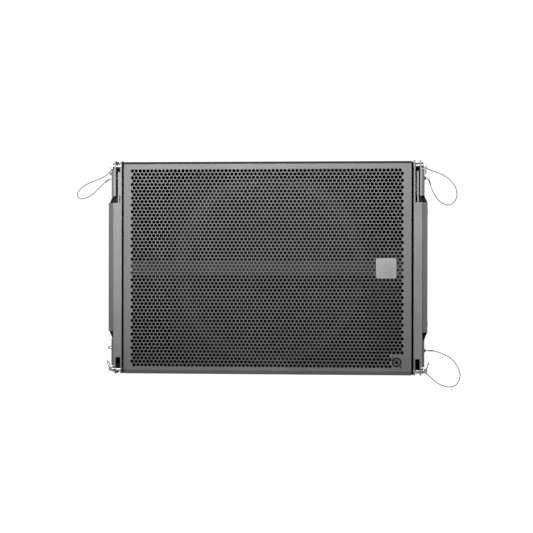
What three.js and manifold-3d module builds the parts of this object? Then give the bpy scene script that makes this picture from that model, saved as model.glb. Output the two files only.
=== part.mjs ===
// Flown line array loudspeaker: a wide, low reflex cabinet with one large woofer behind a
// full perforated front, carried by a steel rigging frame on each side.
//
// Units are millimetres. +Z is up, the front faces -Y and +X is the right-hand side seen
// from the front. The origin is at the middle of the cabinet's top face, where the
// rigging lifts it, so the cabinet hangs from z = 0 down to z = -CABINET_HEIGHT.

import * as THREE from 'three';
import { mergeVertices } from 'three/addons/utils/BufferGeometryUtils.js';
import Module from 'manifold-3d';

const wasm = await Module();
wasm.setup();

// ---------------------------------------------------------------- driving dimensions

const FIT_GAP = 0.3; // left between two pieces that touch

// Cabinet
const CABINET_WIDTH = 695;
const CABINET_HEIGHT = 513;
const CABINET_DEPTH = 700;
const WALL = 15; // plywood
const REAR_RECESS = 12; // the rear panel sits this far inside the walls
const TOP_NOSE_RADIUS = 3.3; // rounded lip above the grille
const BOTTOM_BEVEL = 10; // slanted lip below the grille

// Grille and what is on it
const GRILLE_SHEET = 1.5;
const GRILLE_RETURN = 25; // folded sides, let into the walls
const BADGE_SIZE = 49;
const BADGE_THICKNESS = 2;
const BADGE_CORNER_RADIUS = 5;
const BADGE_FROM_EDGE = 60.5; // cabinet's side face to the badge's centre
const FRONT_SOCKET_FROM_EDGE = 35.5;
const FRONT_SOCKET_ABOVE_FLOOR = 17; // cabinet's inside floor to the socket's centre

// Panel sockets, a common round speaker connector on a small rectangular flange
const SOCKET_FLANGE_WIDTH = 26;
const SOCKET_FLANGE_HEIGHT = 31;
const SOCKET_FLANGE = 2.5;
const SOCKET_RADIUS = 11.6;
const SOCKET_BARREL = 24;
const SOCKET_THROAT_RADIUS = 7.4;
const SOCKET_THROAT_DEPTH = 14;
const SOCKET_CORE_RADIUS = 4.4;
const SOCKET_FACE_PROUD = 1;

// Baffle, brace and reflex ports
const BAFFLE_FROM_FRONT = 88;
const BAFFLE_THICKNESS = 18;
const BRACE_HEIGHT = 34;
const BRACE_BEHIND_GRILLE = 3.5;
const BRACE_SAG = 20; // how far the brace's front edge bows back at the middle
const BRACE_CLEAR_OF_CONE = 34; // space kept between the baffle and the brace's middle
const PORT_MARGIN = 6; // woofer flange to the port's edge
const PORT_WALL_MARGIN = 8; // port's outer edge to the side wall
const PORT_END_MARGIN = 30; // port's ends to the top and bottom panels
const PORT_DEPTH = 130;
const PORT_WALL = 15;

// Woofer, measured back from the baffle's front face
const WOOFER_EDGE_CLEARANCE = 6; // flange to the top and bottom panels
const WOOFER_FLANGE_WIDTH = 25;
const WOOFER_FLANGE = 7;
const WOOFER_SEAT_WIDTH = 11; // flange that rests on the baffle
const SURROUND_WIDTH = 24;
const SURROUND_HEIGHT = 13;
const SURROUND_SKIN = 1.6;
const CONE_DEPTH = 78;
const CONE_PAPER = 2.5;
const DUST_CAP_RADIUS = 62;
const DUST_CAP_RISE = 22;
const COIL_RADIUS = 51.5;
const COIL_WALL = 1.5;
const COIL_LENGTH = 62;
const GAP_CLEARANCE = 1.5; // voice coil to the steel on each side
const SPIDER_RADIUS = 98;
const SPIDER_FROM_NECK = 8;
const SPIDER_HEIGHT = 4;
const SPIDER_CLOTH = 1.4;
const BASKET_METAL = 4;
const BASKET_BACK_RADIUS = 104;
const BASKET_DEPTH = 124;
const BASKET_WINDOWS = 6;
const MAGNET_RADIUS = 108;
const MAGNET_FRONT_PLATE = 10;
const MAGNET_RING = 28;
const MAGNET_BACK_PLATE = 12;
const WOOFER_SEGMENTS = 28;

// Rear input plate
const INPUT_PLATE_WIDTH = 190;
const INPUT_PLATE_HEIGHT = 110;
const INPUT_PLATE = 3;
const INPUT_HOLE_MARGIN = 18;
const INPUT_SOCKET_SPACING = 60;
const INPUT_FROM_BOTTOM = 130;

// Side handles
const HANDLE_CUP_LENGTH = 180;
const HANDLE_CUP_HEIGHT = 100;
const HANDLE_CUP_DEPTH = 58;
const HANDLE_CUP_WALL = 4;
const HANDLE_FLANGE = 3;
const HANDLE_FLANGE_MARGIN = 14;
const GRIP_SLOT_LENGTH = 150;
const GRIP_SLOT_HEIGHT = 52;

// Side rigging. Offsets out from the cabinet's side face start with OUT_.
const OUT_CHANNEL = 5;
const CHANNEL_INNER_PLATE = 3.4;
const CHANNEL_SLOT = 11.4;
const CHANNEL_OUTER_PLATE = 5.4;
const CHANNEL_WEB = 3.4; // front web
const CHANNEL_BACK_WALL = 4;
const CHANNEL_DEPTH = 54;
const CHANNEL_FROM_FRONT = 1;
const CHANNEL_CORNER_RADIUS = 8;
const EAR_RISE = 2.5; // plates stand above the cabinet's top
const SADDLE_RADIUS = 10; // round notch in the back wall's ends
const HEAD_SEAT_PLATE = 3; // outer plate left under a pin's head
const TOP_OPENING = 99; // open front at the channel's top
const BOTTOM_OPENING = 40; // and at its foot
const SHOULDER_HEIGHT = 16; // slope of the cheek above and below its thick part
const SHOULDER_POCKET = 12; // how far the slopes are set back at the front
const LEDGE = 4; // shelf that the stowed link rests on

// Side cheeks, the textured outer boards
const CHEEK_THIN = 5.1;
const CHEEK_THICK = 12.3;
const CHEEK_FROM_FRONT = 5;
const CHEEK_TOP_CUT = 18; // top of the cabinet to the cheek's upper edge
const CHEEK_BOTTOM_CUT = 20;
const CHEEK_LOWER_SHOULDER = 85; // cabinet's bottom to the foot of the lower slope

// Side pans, pressed plates that join the front and rear channels
const PAN_SHEET = 3;
const PAN_TOP = 118;
const PAN_BOTTOM = 118;

// Link bars
const LINK_THICKNESS = 8;
const LINK_SIDE_CLEARANCE = 0.5;
const LINK_LENGTH = 61;
const LINK_TAIL = 15.7;
const LINK_TAIL_WIDTH = 3.4;
const LINK_HOLE_FROM_FOOT = 17;
const LINK_HOLE_SPACING = 26.5;
const LINK_BEHIND_PIN = 2;

// Locking pins
const PIN_RADIUS = 4;
const PIN_HOLE_CLEARANCE = 0.25;
const PIN_FROM_FRONT = 10; // cabinet's front face to the pin's axis
const PIN_FROM_TOP = 10;
const PIN_FROM_BOTTOM = 11;
const PIN_TIP = 1.8; // tip that shows past the inner plate
const HEAD_RADIUS = 6.5;
const HEAD_LENGTH = 6;
const TANG_PAST_HOLE = 4;
const TANG_THICKNESS = 5;
const TANG_HEIGHT = 9.6;
const TANG_HOLE_RADIUS = 2;
const RING_CLEAR_OF_CHEEK = 3; // thin cheek's face to the ring's hinge
const LOCK_HOLE_BEHIND_PIN = 23; // spare hole where the pin holds a raised link
const RING_RADIUS = 10.5;
const RING_WIRE_RADIUS = 1.1;
const BOTTOM_RING_TILT = 160; // degrees from hanging, the bottom rings stand up

// Lanyards and their anchors
const LANYARD_RADIUS = 1;
const LANYARD_SIDES = 8;
const LANYARD_STEPS = 42;
const ANCHOR_RADIUS = 4.5;
const ANCHOR_HEIGHT = 4;
const ANCHOR_BEHIND_PIN = 18;
const TOP_ANCHOR_FROM_TOP = 40;
const BOTTOM_ANCHOR_FROM_BOTTOM = 59;

// How finely round shapes are divided
const BAR_SEGMENTS = 14;
const CORNER_SEGMENTS = 4; // in a quarter round
const SOCKET_SEGMENTS = 22;
const RING_SEGMENTS = 16;
const RING_WIRE_SEGMENTS = 6;

// ---------------------------------------------------------------- worked-out places

const HALF_WIDTH = CABINET_WIDTH / 2;
const HALF_DEPTH = CABINET_DEPTH / 2;
const FRONT = -HALF_DEPTH;
const BOTTOM = -CABINET_HEIGHT;
const MIDDLE = BOTTOM / 2;
const INNER_HALF_WIDTH = HALF_WIDTH - WALL;
const INNER_HEIGHT = CABINET_HEIGHT - 2 * WALL;
const WALL_FRONT = FRONT + GRILLE_SHEET + FIT_GAP;
const GRILLE_TOP = -TOP_NOSE_RADIUS - FIT_GAP;
const GRILLE_BOTTOM = BOTTOM + BOTTOM_BEVEL;
const REAR_FACE = HALF_DEPTH - REAR_RECESS;

const BAFFLE_FRONT = FRONT + BAFFLE_FROM_FRONT;
const BAFFLE_BACK = BAFFLE_FRONT + BAFFLE_THICKNESS;
const WOOFER_RADIUS = INNER_HEIGHT / 2 - WOOFER_EDGE_CLEARANCE;
const BAFFLE_HOLE_RADIUS = WOOFER_RADIUS - WOOFER_SEAT_WIDTH;
const SURROUND_RADIUS = WOOFER_RADIUS - WOOFER_FLANGE_WIDTH - FIT_GAP;
const CONE_RADIUS = SURROUND_RADIUS - SURROUND_WIDTH - FIT_GAP;
const PORT_INNER = WOOFER_RADIUS + PORT_MARGIN;
const PORT_OUTER = INNER_HALF_WIDTH - PORT_WALL_MARGIN;

const OUT_SLOT = OUT_CHANNEL + CHANNEL_INNER_PLATE;
const OUT_SLOT_END = OUT_SLOT + CHANNEL_SLOT;
const OUT_CHANNEL_END = OUT_SLOT_END + CHANNEL_OUTER_PLATE;
const OUT_HEAD_SEAT = OUT_SLOT_END + HEAD_SEAT_PLATE;
const OUT_CHEEK = OUT_CHANNEL_END + FIT_GAP;
const CHANNEL_FRONT = FRONT + CHANNEL_FROM_FRONT;
const CHANNEL_BACK = CHANNEL_FRONT + CHANNEL_DEPTH;
const UPPER_SHOULDER = -TOP_OPENING + SHOULDER_HEIGHT;
const LOWER_SHOULDER = BOTTOM + CHEEK_LOWER_SHOULDER;

const PIN_Y = FRONT + PIN_FROM_FRONT;
const PIN_TOP_Z = -PIN_FROM_TOP;
const PIN_BOTTOM_Z = BOTTOM + PIN_FROM_BOTTOM;
const LOCK_Y = PIN_Y + LOCK_HOLE_BEHIND_PIN;
const PIN_HOLE_RADIUS = PIN_RADIUS + PIN_HOLE_CLEARANCE;
const OUT_HEAD = OUT_HEAD_SEAT + FIT_GAP;
const OUT_TANG = OUT_HEAD + HEAD_LENGTH;
const OUT_RING_HOLE = OUT_CHEEK + CHEEK_THIN + RING_CLEAR_OF_CHEEK;

// ---------------------------------------------------------------- finishes

function finish(color, roughness, metalness) {
  return new THREE.MeshStandardMaterial({ color, roughness, metalness });
}

const texturedCoat = () => finish(0x34363a, 0.8, 0);
const powderSteel = () => finish(0x4a4c50, 0.55, 0.3);
const bareSteel = () => finish(0xc8cbce, 0.28, 1);
const blackPlastic = () => finish(0x17181a, 0.6, 0);
const birchPly = () => finish(0x2b2723, 0.85, 0);
const pressedPaper = () => finish(0x1c1c1e, 0.9, 0);
const wovenCloth = () => finish(0x6a4a2a, 0.95, 0);
const castMetal = () => finish(0x2e3033, 0.5, 0.4);
const wireRope = () => finish(0x9a9c9e, 0.4, 0.9);

// ---------------------------------------------------------------- shaping helpers

// A box from its lowest to its highest corner.
function box(x0, x1, y0, y1, z0, z1) {
  const geometry = new THREE.BoxGeometry(x1 - x0, y1 - y0, z1 - z0);
  return geometry.translate((x0 + x1) / 2, (y0 + y1) / 2, (z0 + z1) / 2);
}

// A round bar along X, about (y, z).
function barX(radius, x0, x1, y, z, segments = BAR_SEGMENTS) {
  const geometry = new THREE.CylinderGeometry(radius, radius, x1 - x0, segments);
  return geometry.rotateZ(-Math.PI / 2).translate((x0 + x1) / 2, y, z);
}

// A round bar along Y, about (x, z).
function barY(radius, x, y0, y1, z, segments = BAR_SEGMENTS) {
  const geometry = new THREE.CylinderGeometry(radius, radius, y1 - y0, segments);
  return geometry.translate(x, (y0 + y1) / 2, z);
}

function outline(points) {
  return new THREE.Shape(points.map(([a, b]) => new THREE.Vector2(a, b)));
}

function extrude(shape, depth) {
  return new THREE.ExtrudeGeometry(shape, { depth, bevelEnabled: false, curveSegments: CORNER_SEGMENTS });
}

// Carries an extruded outline's own x, y and z axes onto the given axes.
function onto(geometry, xAxis, yAxis, zAxis) {
  return geometry.applyMatrix4(new THREE.Matrix4().makeBasis(xAxis, yAxis, zAxis));
}

const X = new THREE.Vector3(1, 0, 0);
const Y = new THREE.Vector3(0, 1, 0);
const Z = new THREE.Vector3(0, 0, 1);

// An outline of (y, z) points, drawn out from x0 to x1.
function alongX(points, x0, x1) {
  return onto(extrude(outline(points), x1 - x0), Y, Z, X).translate(x0, 0, 0);
}

// An outline of (x, z) points, drawn out from y0 to y1.
function alongY(points, y0, y1) {
  const turned = outline(points.map(([x, z]) => [z, x]));
  return onto(extrude(turned, y1 - y0), Z, X, Y).translate(0, y0, 0);
}

// A rounded rectangle or slot in the plane across Y, from y0 to y1.
function roundedAcrossY(width, height, radius, x, z, y0, y1) {
  return onto(extrude(roundedRectangle(height, width, radius), y1 - y0), Z, X, Y).translate(x, y0, z);
}

// The same across X, from x0 to x1.
function roundedAcrossX(length, height, radius, y, z, x0, x1) {
  return onto(extrude(roundedRectangle(length, height, radius), x1 - x0), Y, Z, X).translate(x0, y, z);
}

function roundedRectangle(width, height, radius) {
  const shape = new THREE.Shape();
  const w = width / 2;
  const h = height / 2;
  shape.moveTo(-w + radius, -h);
  shape.lineTo(w - radius, -h);
  shape.absarc(w - radius, -h + radius, radius, -Math.PI / 2, 0);
  shape.lineTo(w, h - radius);
  shape.absarc(w - radius, h - radius, radius, 0, Math.PI / 2);
  shape.lineTo(-w + radius, h);
  shape.absarc(-w + radius, h - radius, radius, Math.PI / 2, Math.PI);
  shape.lineTo(-w, -h + radius);
  shape.absarc(-w + radius, -h + radius, radius, Math.PI, 1.5 * Math.PI);
  return shape;
}

// Points on an arc, the ends included.
function arc(cx, cy, radius, startDegrees, endDegrees, steps) {
  const points = [];
  for (let i = 0; i <= steps; i += 1) {
    const angle = THREE.MathUtils.degToRad(startDegrees + ((endDegrees - startDegrees) * i) / steps);
    points.push([cx + radius * Math.cos(angle), cy + radius * Math.sin(angle)]);
  }
  return points;
}

// A turned shape about the woofer's axis. Profile points are (radius, distance behind the
// baffle's front face), and a profile that is off the axis closes on itself.
function turned(profile) {
  const points = profile.map(([radius, back]) => new THREE.Vector2(radius, back));
  const onAxis = profile[0][0] === 0;
  if (!onAxis) points.push(points[0].clone());
  const geometry = new THREE.LatheGeometry(points, WOOFER_SEGMENTS);
  return geometry.translate(0, BAFFLE_FRONT, MIDDLE);
}

// A closed three.js shape as a solid that can be joined and cut.
function solid(geometry) {
  const bare = geometry.index ? geometry.toNonIndexed() : geometry.clone();
  bare.deleteAttribute('normal');
  bare.deleteAttribute('uv');
  const merged = mergeVertices(bare, 1e-4);
  const vertProperties = new Float32Array(merged.attributes.position.array);
  const flat = Array.from(merged.index.array);
  const triVerts = [];
  for (let i = 0; i < flat.length; i += 3) {
    const [a, b, c] = flat.slice(i, i + 3);
    if (a !== b && b !== c && c !== a) triVerts.push(a, b, c);
  }
  const made = new wasm.Manifold(
    new wasm.Mesh({ numProp: 3, vertProperties, triVerts: new Uint32Array(triVerts) }),
  );
  return made.volume() < 0 ? inverted(vertProperties, triVerts) : made;
}

function inverted(vertProperties, triVerts) {
  const turnedOver = new Uint32Array(triVerts.length);
  for (let i = 0; i < triVerts.length; i += 3) {
    turnedOver.set([triVerts[i], triVerts[i + 2], triVerts[i + 1]], i);
  }
  return new wasm.Manifold(new wasm.Mesh({ numProp: 3, vertProperties, triVerts: turnedOver }));
}

function join(...shapes) {
  return shapes.map(asSolid).reduce((whole, next) => whole.add(next));
}

function cut(body, ...tools) {
  return tools.map(asSolid).reduce((left, tool) => left.subtract(tool), asSolid(body));
}

function asSolid(shape) {
  return shape.isBufferGeometry ? solid(shape) : shape;
}

// A named mesh from a solid or a closed geometry.
function piece(name, shape, material) {
  const { vertProperties, triVerts, numProp } = asSolid(shape).getMesh();
  const positions = new Float32Array(triVerts.length * 3);
  triVerts.forEach((vertex, corner) => {
    const start = vertex * numProp;
    positions.set(vertProperties.subarray(start, start + 3), corner * 3);
  });
  const geometry = new THREE.BufferGeometry();
  geometry.setAttribute('position', new THREE.BufferAttribute(positions, 3));
  geometry.computeVertexNormals();
  const mesh = new THREE.Mesh(geometry, material);
  mesh.name = name;
  return mesh;
}

// ---------------------------------------------------------------- cabinet

function cabinetTop() {
  const nose = arc(FRONT + TOP_NOSE_RADIUS, -TOP_NOSE_RADIUS, TOP_NOSE_RADIUS, 180, 90, 6);
  const profile = [
    [WALL_FRONT, -WALL],
    [WALL_FRONT, -TOP_NOSE_RADIUS],
    ...nose,
    [HALF_DEPTH, 0],
    [HALF_DEPTH, -WALL],
  ];
  return piece('cabinet_top', alongX(profile, -HALF_WIDTH, HALF_WIDTH), birchPly());
}

function cabinetBottom() {
  const inside = BOTTOM + WALL;
  const profile = [
    [WALL_FRONT, inside],
    [WALL_FRONT, GRILLE_BOTTOM - FIT_GAP],
    [WALL_FRONT + BOTTOM_BEVEL - FIT_GAP, BOTTOM],
    [HALF_DEPTH, BOTTOM],
    [HALF_DEPTH, inside],
  ];
  return piece('cabinet_bottom', alongX(profile, -HALF_WIDTH, HALF_WIDTH), birchPly());
}

// The right-hand wall: a rebate takes the grille's fold and a hole takes the handle cup.
function cabinetSide(name) {
  const inside = BOTTOM + WALL + FIT_GAP;
  const wall = box(INNER_HALF_WIDTH, HALF_WIDTH, WALL_FRONT, HALF_DEPTH, inside, -WALL - FIT_GAP);
  const fold = HALF_WIDTH - GRILLE_SHEET - FIT_GAP;
  const rebate = box(fold, HALF_WIDTH + 1, FRONT - 1, FRONT + GRILLE_RETURN + FIT_GAP, BOTTOM, 0);
  const length = HANDLE_CUP_LENGTH + 2 * FIT_GAP;
  const height = HANDLE_CUP_HEIGHT + 2 * FIT_GAP;
  const cup = roundedAcrossX(length, height, 12, 0, MIDDLE, INNER_HALF_WIDTH - 1, HALF_WIDTH + 1);
  return piece(name, cut(wall, rebate, cup), birchPly());
}

function cabinetRear() {
  const edge = INNER_HALF_WIDTH - FIT_GAP;
  const low = BOTTOM + WALL + FIT_GAP;
  const panel = box(-edge, edge, REAR_FACE - WALL, REAR_FACE, low, -WALL - FIT_GAP);
  const width = INPUT_PLATE_WIDTH - 2 * INPUT_HOLE_MARGIN;
  const height = INPUT_PLATE_HEIGHT - 2 * INPUT_HOLE_MARGIN;
  const z = BOTTOM + INPUT_FROM_BOTTOM;
  const hole = box(-width / 2, width / 2, REAR_FACE - WALL - 1, REAR_FACE + 1, z - height / 2, z + height / 2);
  return piece('cabinet_rear', cut(panel, hole), birchPly());
}

function driverBaffle() {
  const edge = INNER_HALF_WIDTH - FIT_GAP;
  const low = BOTTOM + WALL + FIT_GAP;
  const high = -WALL - FIT_GAP;
  const board = box(-edge, edge, BAFFLE_FRONT, BAFFLE_BACK, low, high);
  const bore = barY(BAFFLE_HOLE_RADIUS, 0, BAFFLE_FRONT - 1, BAFFLE_BACK + 1, MIDDLE, WOOFER_SEGMENTS);
  const slots = [-1, 1].map((side) => {
    const x0 = Math.min(side * PORT_INNER, side * PORT_OUTER);
    const x1 = Math.max(side * PORT_INNER, side * PORT_OUTER);
    return box(x0, x1, BAFFLE_FRONT - 1, BAFFLE_BACK + 1, low + PORT_END_MARGIN, high - PORT_END_MARGIN);
  });
  return piece('driver_baffle', cut(board, bore, ...slots), birchPly());
}

// A level rail across the mouth of the cabinet. Its front bows back at the middle and its
// back is cut away to leave the cone room.
function frontBrace() {
  const edge = INNER_HALF_WIDTH - FIT_GAP;
  const front = FRONT + GRILLE_SHEET + BRACE_BEHIND_GRILLE;
  const back = BAFFLE_FRONT - FIT_GAP;
  const clearBack = BAFFLE_FRONT - BRACE_CLEAR_OF_CONE;
  const clearHalf = WOOFER_RADIUS + PORT_MARGIN / 2;
  const steps = 16;
  const bow = [];
  for (let i = 0; i <= steps; i += 1) {
    const x = -edge + (2 * edge * i) / steps;
    bow.push([x, front + BRACE_SAG * Math.cos((Math.PI * x) / (2 * edge)) ** 2]);
  }
  const points = [...bow, [edge, back], [clearHalf, back], [clearHalf, clearBack], [-clearHalf, clearBack]];
  points.push([-clearHalf, back], [-edge, back]);
  const rail = extrude(outline(points), BRACE_HEIGHT).translate(0, 0, MIDDLE - BRACE_HEIGHT / 2);
  return piece('front_brace', rail, birchPly());
}

function portWall(name) {
  const low = BOTTOM + WALL + FIT_GAP;
  const start = BAFFLE_BACK + FIT_GAP;
  const wall = box(PORT_INNER - PORT_WALL, PORT_INNER, start, start + PORT_DEPTH, low, -WALL - FIT_GAP);
  return piece(name, wall, birchPly());
}

// ---------------------------------------------------------------- front

function frontGrille() {
  const face = box(-HALF_WIDTH, HALF_WIDTH, FRONT, FRONT + GRILLE_SHEET, GRILLE_BOTTOM, GRILLE_TOP);
  const foldLow = BOTTOM + WALL + FIT_GAP;
  const foldHigh = -WALL - FIT_GAP;
  const inner = HALF_WIDTH - GRILLE_SHEET;
  const right = box(inner, HALF_WIDTH, FRONT, FRONT + GRILLE_RETURN, foldLow, foldHigh);
  const left = box(-HALF_WIDTH, -inner, FRONT, FRONT + GRILLE_RETURN, foldLow, foldHigh);
  const [x, z] = frontSocketPlace();
  const hole = barY(SOCKET_RADIUS + 2 * FIT_GAP, x, FRONT - 1, FRONT + GRILLE_SHEET + 1, z, SOCKET_SEGMENTS);
  return piece('front_grille', cut(join(face, right, left), hole), powderSteel());
}

function frontSocketPlace() {
  return [HALF_WIDTH - FRONT_SOCKET_FROM_EDGE, BOTTOM + WALL + FRONT_SOCKET_ABOVE_FLOOR];
}

function badgePlate() {
  const back = FRONT - FIT_GAP;
  const x = HALF_WIDTH - BADGE_FROM_EDGE;
  const plate = roundedAcrossY(
    BADGE_SIZE, BADGE_SIZE, BADGE_CORNER_RADIUS, x, MIDDLE, back - BADGE_THICKNESS, back,
  );
  return piece('badge_plate', plate, finish(0x8f9194, 0.35, 0.9));
}

// A round socket whose face looks along -Y. The flange's front is at y = seat, and the face
// stands proud of the flange's front by faceProud.
function socket(name, x, z, seat, faceProud) {
  const w = SOCKET_FLANGE_WIDTH / 2;
  const h = SOCKET_FLANGE_HEIGHT / 2;
  const flange = box(x - w, x + w, seat, seat + SOCKET_FLANGE, z - h, z + h);
  const barrel = barY(SOCKET_RADIUS, x, seat - faceProud, seat + SOCKET_BARREL, z, SOCKET_SEGMENTS);
  const throatEnd = seat - faceProud + SOCKET_THROAT_DEPTH;
  const throat = barY(SOCKET_THROAT_RADIUS, x, seat - faceProud - 1, throatEnd, z, SOCKET_SEGMENTS);
  const core = barY(SOCKET_CORE_RADIUS, x, seat - faceProud + 1, throatEnd + 1, z);
  return piece(name, join(cut(join(flange, barrel), throat), core), blackPlastic());
}

function frontSocket() {
  const [x, z] = frontSocketPlace();
  const seat = FRONT + GRILLE_SHEET + FIT_GAP;
  const proud = GRILLE_SHEET + FIT_GAP + SOCKET_FACE_PROUD;
  return socket('front_socket', x, z, seat, proud);
}

// ---------------------------------------------------------------- woofer

function wooferBasket() {
  const front = -WOOFER_FLANGE - FIT_GAP;
  const mouth = WOOFER_RADIUS - WOOFER_FLANGE_WIDTH;
  const throat = BAFFLE_HOLE_RADIUS - FIT_GAP;
  const shelf = BASKET_BACK_RADIUS - BASKET_METAL;
  const neck = CONE_DEPTH + SPIDER_FROM_NECK + SPIDER_HEIGHT;
  const shell = solid(turned([
    [mouth, front],
    [WOOFER_RADIUS, front],
    [WOOFER_RADIUS, -FIT_GAP],
    [throat, -FIT_GAP],
    [throat, BAFFLE_THICKNESS],
    [BASKET_BACK_RADIUS + BASKET_METAL, neck],
    [BASKET_BACK_RADIUS + BASKET_METAL, BASKET_DEPTH],
    [COIL_RADIUS + BASKET_METAL, BASKET_DEPTH],
    [COIL_RADIUS + BASKET_METAL, BASKET_DEPTH - BASKET_METAL],
    [shelf, BASKET_DEPTH - BASKET_METAL],
    [shelf, neck],
    [BASKET_BACK_RADIUS, neck - BASKET_METAL],
    [throat - BASKET_METAL, BAFFLE_THICKNESS - BASKET_METAL],
  ]));
  const windows = [];
  const span = (throat + BASKET_BACK_RADIUS) / 2;
  const middle = BAFFLE_FRONT + (BAFFLE_THICKNESS + neck) / 2;
  const length = (throat - BASKET_BACK_RADIUS) * 0.5;
  const height = (neck - BAFFLE_THICKNESS) * 0.62;
  for (let i = 0; i < BASKET_WINDOWS; i += 1) {
    const window = box(
      span - length / 2, span + length / 2 + throat, middle - height / 2, middle + height / 2,
      -span * 0.36, span * 0.36,
    );
    window.rotateY(((i + 0.5) * 2 * Math.PI) / BASKET_WINDOWS).translate(0, 0, MIDDLE);
    windows.push(window);
  }
  return piece('woofer_basket', cut(shell, ...windows), castMetal());
}

function wooferSurround() {
  const outer = SURROUND_RADIUS;
  const inner = CONE_RADIUS + FIT_GAP;
  const centre = (outer + inner) / 2;
  const half = (outer - inner) / 2;
  const roll = (skin, from, to) => arc(0, 0, 1, from, to, 6).map(([a, b]) => [
    centre + (half - skin) * a,
    -SURROUND_SKIN - (SURROUND_HEIGHT - SURROUND_SKIN - skin) * b,
  ]);
  const profile = [...roll(0, 0, 180), ...roll(SURROUND_SKIN, 180, 0)];
  return piece('woofer_surround', turned(profile), finish(0x141415, 0.9, 0));
}

// Straight-sided paper cone from the surround down to the voice coil's neck.
function wooferCone() {
  const neck = COIL_RADIUS + FIT_GAP;
  const profile = [
    [neck, CONE_DEPTH],
    [neck, CONE_DEPTH - CONE_PAPER],
    [CONE_RADIUS - 2 * CONE_PAPER, 0],
    [CONE_RADIUS, -SURROUND_SKIN],
    [CONE_RADIUS, CONE_PAPER - SURROUND_SKIN],
    [neck + 2 * CONE_PAPER, CONE_DEPTH + CONE_PAPER],
    [neck, CONE_DEPTH + CONE_PAPER],
  ];
  return piece('woofer_cone', turned(profile), pressedPaper());
}

function wooferDustCap() {
  const neck = COIL_RADIUS + FIT_GAP;
  const slope = (CONE_DEPTH - CONE_PAPER) / (CONE_RADIUS - 2 * CONE_PAPER - neck);
  const rim = CONE_DEPTH - CONE_PAPER - (DUST_CAP_RADIUS - neck) * slope - CONE_PAPER;
  const steps = 4;
  const dome = (radius, base, rise) => {
    const points = [];
    for (let i = 0; i <= steps; i += 1) {
      const turn = (Math.PI / 2) * (1 - i / steps);
      points.push([radius * Math.sin(turn), base - rise * Math.cos(turn)]);
    }
    return points;
  };
  const outside = dome(DUST_CAP_RADIUS, rim, DUST_CAP_RISE);
  const inside = dome(DUST_CAP_RADIUS - 2 * CONE_PAPER, rim, DUST_CAP_RISE - CONE_PAPER);
  outside[steps][0] = 0;
  inside[steps][0] = 0;
  const profile = [...inside.reverse(), ...outside];
  return piece('woofer_dust_cap', turned(profile), pressedPaper());
}

function voiceCoil() {
  const start = CONE_DEPTH - CONE_PAPER + FIT_GAP;
  const inner = COIL_RADIUS - COIL_WALL;
  const profile = [
    [inner, start],
    [COIL_RADIUS, start],
    [COIL_RADIUS, start + COIL_LENGTH],
    [inner, start + COIL_LENGTH],
  ];
  return piece('voice_coil', turned(profile), finish(0xb06a38, 0.4, 0.8));
}

// Corrugated cloth ring that centres the coil.
function wooferSpider() {
  const inner = COIL_RADIUS + 2 * FIT_GAP;
  const outer = Math.min(SPIDER_RADIUS, BASKET_BACK_RADIUS - BASKET_METAL - 2 * FIT_GAP);
  const start = CONE_DEPTH + SPIDER_FROM_NECK;
  const steps = 6;
  const wave = (offset) => {
    const points = [];
    for (let i = 0; i <= steps; i += 1) {
      const swing = Math.sin((i * Math.PI) / 2) * (SPIDER_HEIGHT - SPIDER_CLOTH);
      points.push([inner + ((outer - inner) * i) / steps, start + swing + offset]);
    }
    return points;
  };
  const profile = [...wave(0), ...wave(SPIDER_CLOTH).reverse()];
  return piece('woofer_spider', turned(profile), wovenCloth());
}

function wooferMagnet() {
  const pole = COIL_RADIUS - COIL_WALL - GAP_CLEARANCE;
  const ring = COIL_RADIUS + GAP_CLEARANCE;
  const front = BASKET_DEPTH + FIT_GAP;
  const gapEnd = front + MAGNET_FRONT_PLATE + MAGNET_RING;
  const back = gapEnd + MAGNET_BACK_PLATE;
  const waist = MAGNET_RADIUS - 3;
  const profile = [
    [0, front],
    [pole, front],
    [pole, gapEnd],
    [ring + 6, gapEnd],
    [ring + 6, front + MAGNET_FRONT_PLATE],
    [ring, front + MAGNET_FRONT_PLATE],
    [ring, front],
    [waist, front],
    [waist, front + MAGNET_FRONT_PLATE],
    [MAGNET_RADIUS, front + MAGNET_FRONT_PLATE],
    [MAGNET_RADIUS, gapEnd],
    [waist, gapEnd],
    [waist, back],
    [0, back],
  ];
  return piece('woofer_magnet', turned(profile), castMetal());
}

// ---------------------------------------------------------------- rear input plate

function inputPlate() {
  const z = BOTTOM + INPUT_FROM_BOTTOM;
  const y0 = REAR_FACE + FIT_GAP;
  const plate = roundedAcrossY(INPUT_PLATE_WIDTH, INPUT_PLATE_HEIGHT, 6, 0, z, y0, y0 + INPUT_PLATE);
  const holes = [-1, 1].map((side) => {
    const x = (side * INPUT_SOCKET_SPACING) / 2;
    return barY(SOCKET_RADIUS + FIT_GAP, x, y0 - 1, y0 + INPUT_PLATE + 1, z, SOCKET_SEGMENTS);
  });
  return piece('input_plate', cut(plate, ...holes), powderSteel());
}

// The rear sockets are the front one turned to look along +Y.
function rearSocket(name, side) {
  const group = new THREE.Group();
  const mesh = socket(name, 0, 0, 0, SOCKET_FACE_PROUD);
  mesh.rotation.z = Math.PI;
  const x = (side * INPUT_SOCKET_SPACING) / 2;
  const y = REAR_FACE + FIT_GAP + INPUT_PLATE + FIT_GAP + SOCKET_FLANGE;
  mesh.position.set(x, y, BOTTOM + INPUT_FROM_BOTTOM);
  group.add(mesh);
  return group;
}

// ---------------------------------------------------------------- one side's fixed pieces
// Everything below is built for the right-hand side, with x measured out from the
// cabinet's side face, and is mirrored for the left.

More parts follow.
